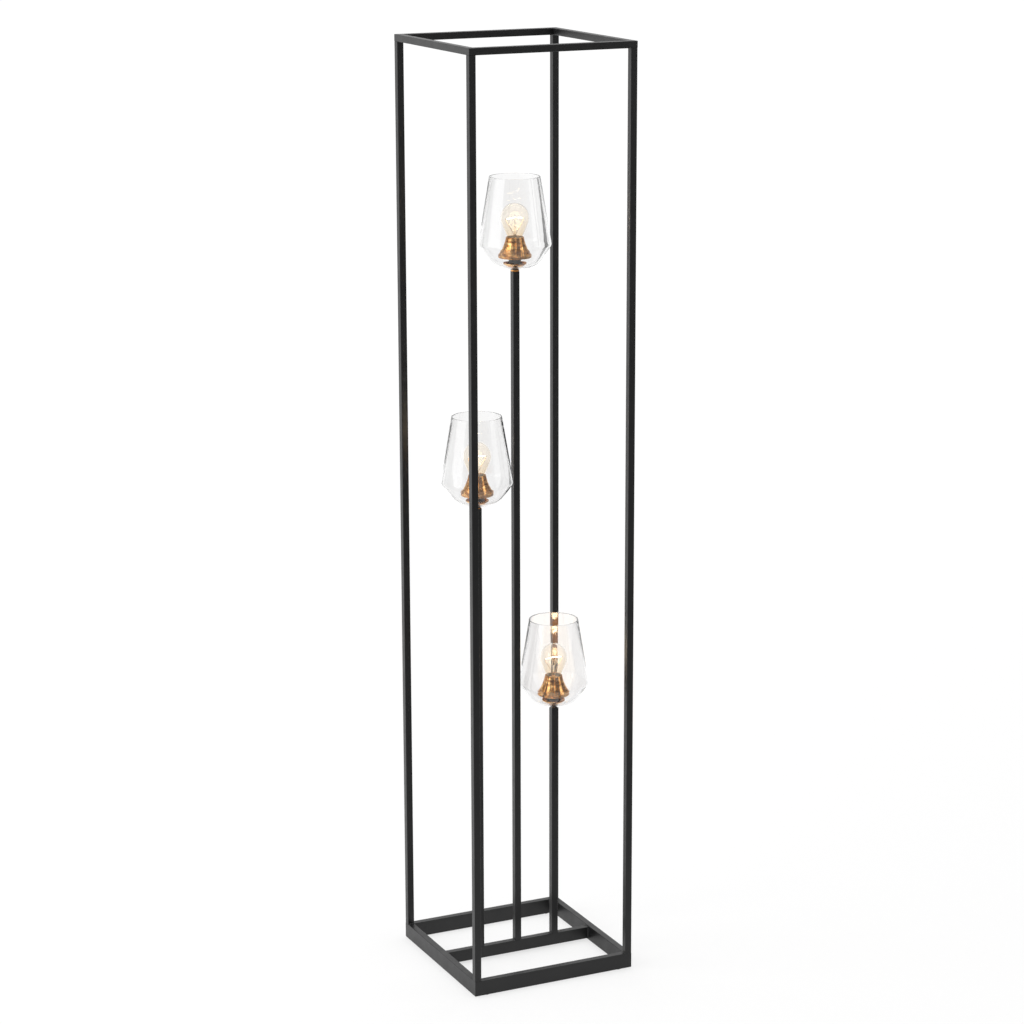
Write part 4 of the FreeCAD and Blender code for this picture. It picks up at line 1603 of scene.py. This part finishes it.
    def lay_floor(self) -> None:
        """Adds the pale floor, which keeps the lamp's soft shadow."""
        mesh = bpy.data.meshes.new("floor")
        half = self.floor_side / 2
        corners = [(-half, -half, 0), (half, -half, 0), (half, half, 0), (-half, half, 0)]
        mesh.from_pydata(corners, [], [(0, 1, 2, 3)])
        obj = in_scene("floor", mesh)
        material = bpy.data.materials.new("floor_pale")
        material.use_nodes = True
        material.node_tree.nodes.clear()
        wiring = Wiring(material.node_tree)
        plain = wiring.node("ShaderNodeBsdfDiffuse", {"Color": (*self.floor_colour, 1.0)})
        where = wiring.node("ShaderNodeNewGeometry").outputs["Position"]
        reach = wiring.vector("LENGTH", where).outputs["Value"]
        seen = wiring.spread(reach, *self.floor_white, *self.floor_reach, soft=True)
        side = self.sided(wiring, where, self.dark_floor, self.dark_floor_reach)
        mirrored = wiring.maths("MULTIPLY", side, self.floor_mirrored)
        strength = self.by_ray(wiring, seen, mirrored, 0.0)
        shine = wiring.node("ShaderNodeEmission", {"Strength": strength})
        both = wiring.node("ShaderNodeAddShader", {0: plain.outputs[0], 1: shine.outputs[0]})
        wiring.node("ShaderNodeOutputMaterial", {"Surface": both.outputs[0]})
        mesh.materials.append(material)

    def surround(self) -> None:
        """Makes the white surroundings."""
        world = bpy.data.worlds.new("surroundings")
        bpy.context.scene.world = world
        world.use_nodes = True
        wiring = Wiring(world.node_tree)
        where = wiring.node("ShaderNodeTexCoord").outputs["Generated"]
        inputs = world.node_tree.nodes["Background"].inputs
        wiring.feed(inputs["Color"], (1.0, 1.0, 1.0, 1.0))
        strength = self.by_ray(wiring, 1.0, self.panelled(wiring, where), self.fill)
        wiring.feed(inputs["Strength"], strength)

    def light(self, name: str, kind: str, power: float, place: Vector) -> Object:
        """Adds a light that isn't seen itself, straight or through glass.

        Args:
            name: its name.
            kind: its type.
            power: its power in watts.
            place: where it is.

        Returns:
            Its object.
        """
        data = bpy.data.lights.new(name, kind)
        data.energy = power
        obj = in_scene(name, data)
        obj.location = place
        obj.visible_camera = obj.visible_transmission = False
        return obj

    def hang_lamps(self) -> None:
        """Adds the soft lamps of the studio, turned to the middle of the floor lamp."""
        for lamp in self.lamps:
            place = Vector(lamp.place)
            obj = self.light(lamp.name, "AREA", lamp.power, place)
            obj.data.size = lamp.spread.value
            obj.rotation_euler = (self.lamp_aim - place).to_track_quat("-Z", "Y").to_euler()

    def light_bulb(self, site: Site, bulb: Bulb) -> None:
        """Adds the warm light of one bulb, which passes through its glass.

        Args:
            site: which lamp.
            bulb: the bulb that it comes from.
        """
        start = site.bulb_foot() + UP * bulb.coil_height
        obj = self.light(f"glow_{site.value}", "POINT", self.glow_power, start)
        obj.data.color, obj.data.shadow_soft_size = self.glow_colour, self.glow_radius
        obj.data.use_shadow = False
        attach(obj, site.bulb_body())

    def warm_tube(self, site: Site, tube: str, bulb: Bulb) -> None:
        """Adds the warm light, in bright bands, that a bulb throws through its glass on a tube.

        Args:
            site: which lamp.
            tube: the node of the tube.
            bulb: the bulb that it comes from.
        """
        low, high = (Vector(p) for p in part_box(tube))
        start = site.bulb_foot() + UP * bulb.coil_height
        way = (low + high) / 2 - start
        way.z = 0
        skin = way.normalized() * bulb.ball_radius * self.beam_start
        way -= skin
        for number, beam in enumerate(self.beams):
            obj = self.light(f"warmth_{number}_{site.value}", "SPOT", beam.power, start + skin)
            obj.data.color, obj.data.shadow_soft_size = beam.colour, self.beam_radius
            obj.data.spot_size = 2 * math.atan(beam.half_tall / way.length)
            obj.data.spot_blend = beam.soft
            obj.data.use_shadow = False
            obj.rotation_euler = (way + UP * beam.rise).to_track_quat("-Z", "Y").to_euler()
            obj.visible_glossy = False
            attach(obj, site.bulb_body())

    def build(self, bulb: Bulb) -> None:
        """Sets up the whole studio.

        Args:
            bulb: the bulb whose light each lamp gives.
        """
        self.aim_camera()
        self.lay_floor()
        self.surround()
        self.hang_lamps()
        for site in Site:
            self.light_bulb(site, bulb)
        self.warm_tube(Site.LOWER, "upright_rear_right", bulb)
        scene = bpy.context.scene
        scene.view_settings.view_transform = "Standard"
        paths = scene.cycles
        paths.max_bounces = paths.glossy_bounces = paths.transmission_bounces = self.glass_bounces
        log.info("studio ready")


def main() -> None:
    """Builds the lamp and its studio, piece by piece."""
    logging.basicConfig(level=logging.INFO, format="%(name)s: %(message)s")
    coats = make_coats()
    bulb = Bulb()
    Studio().build(bulb)
    cage = Cage()
    cage.dress(coats)
    cage.weld(coats)
    for site in Site:
        for fitting in (GlassShade(), BrassFittings(), Lampholder(), bulb):
            fitting.build(site, coats)


if __name__ == "__main__":
    main()
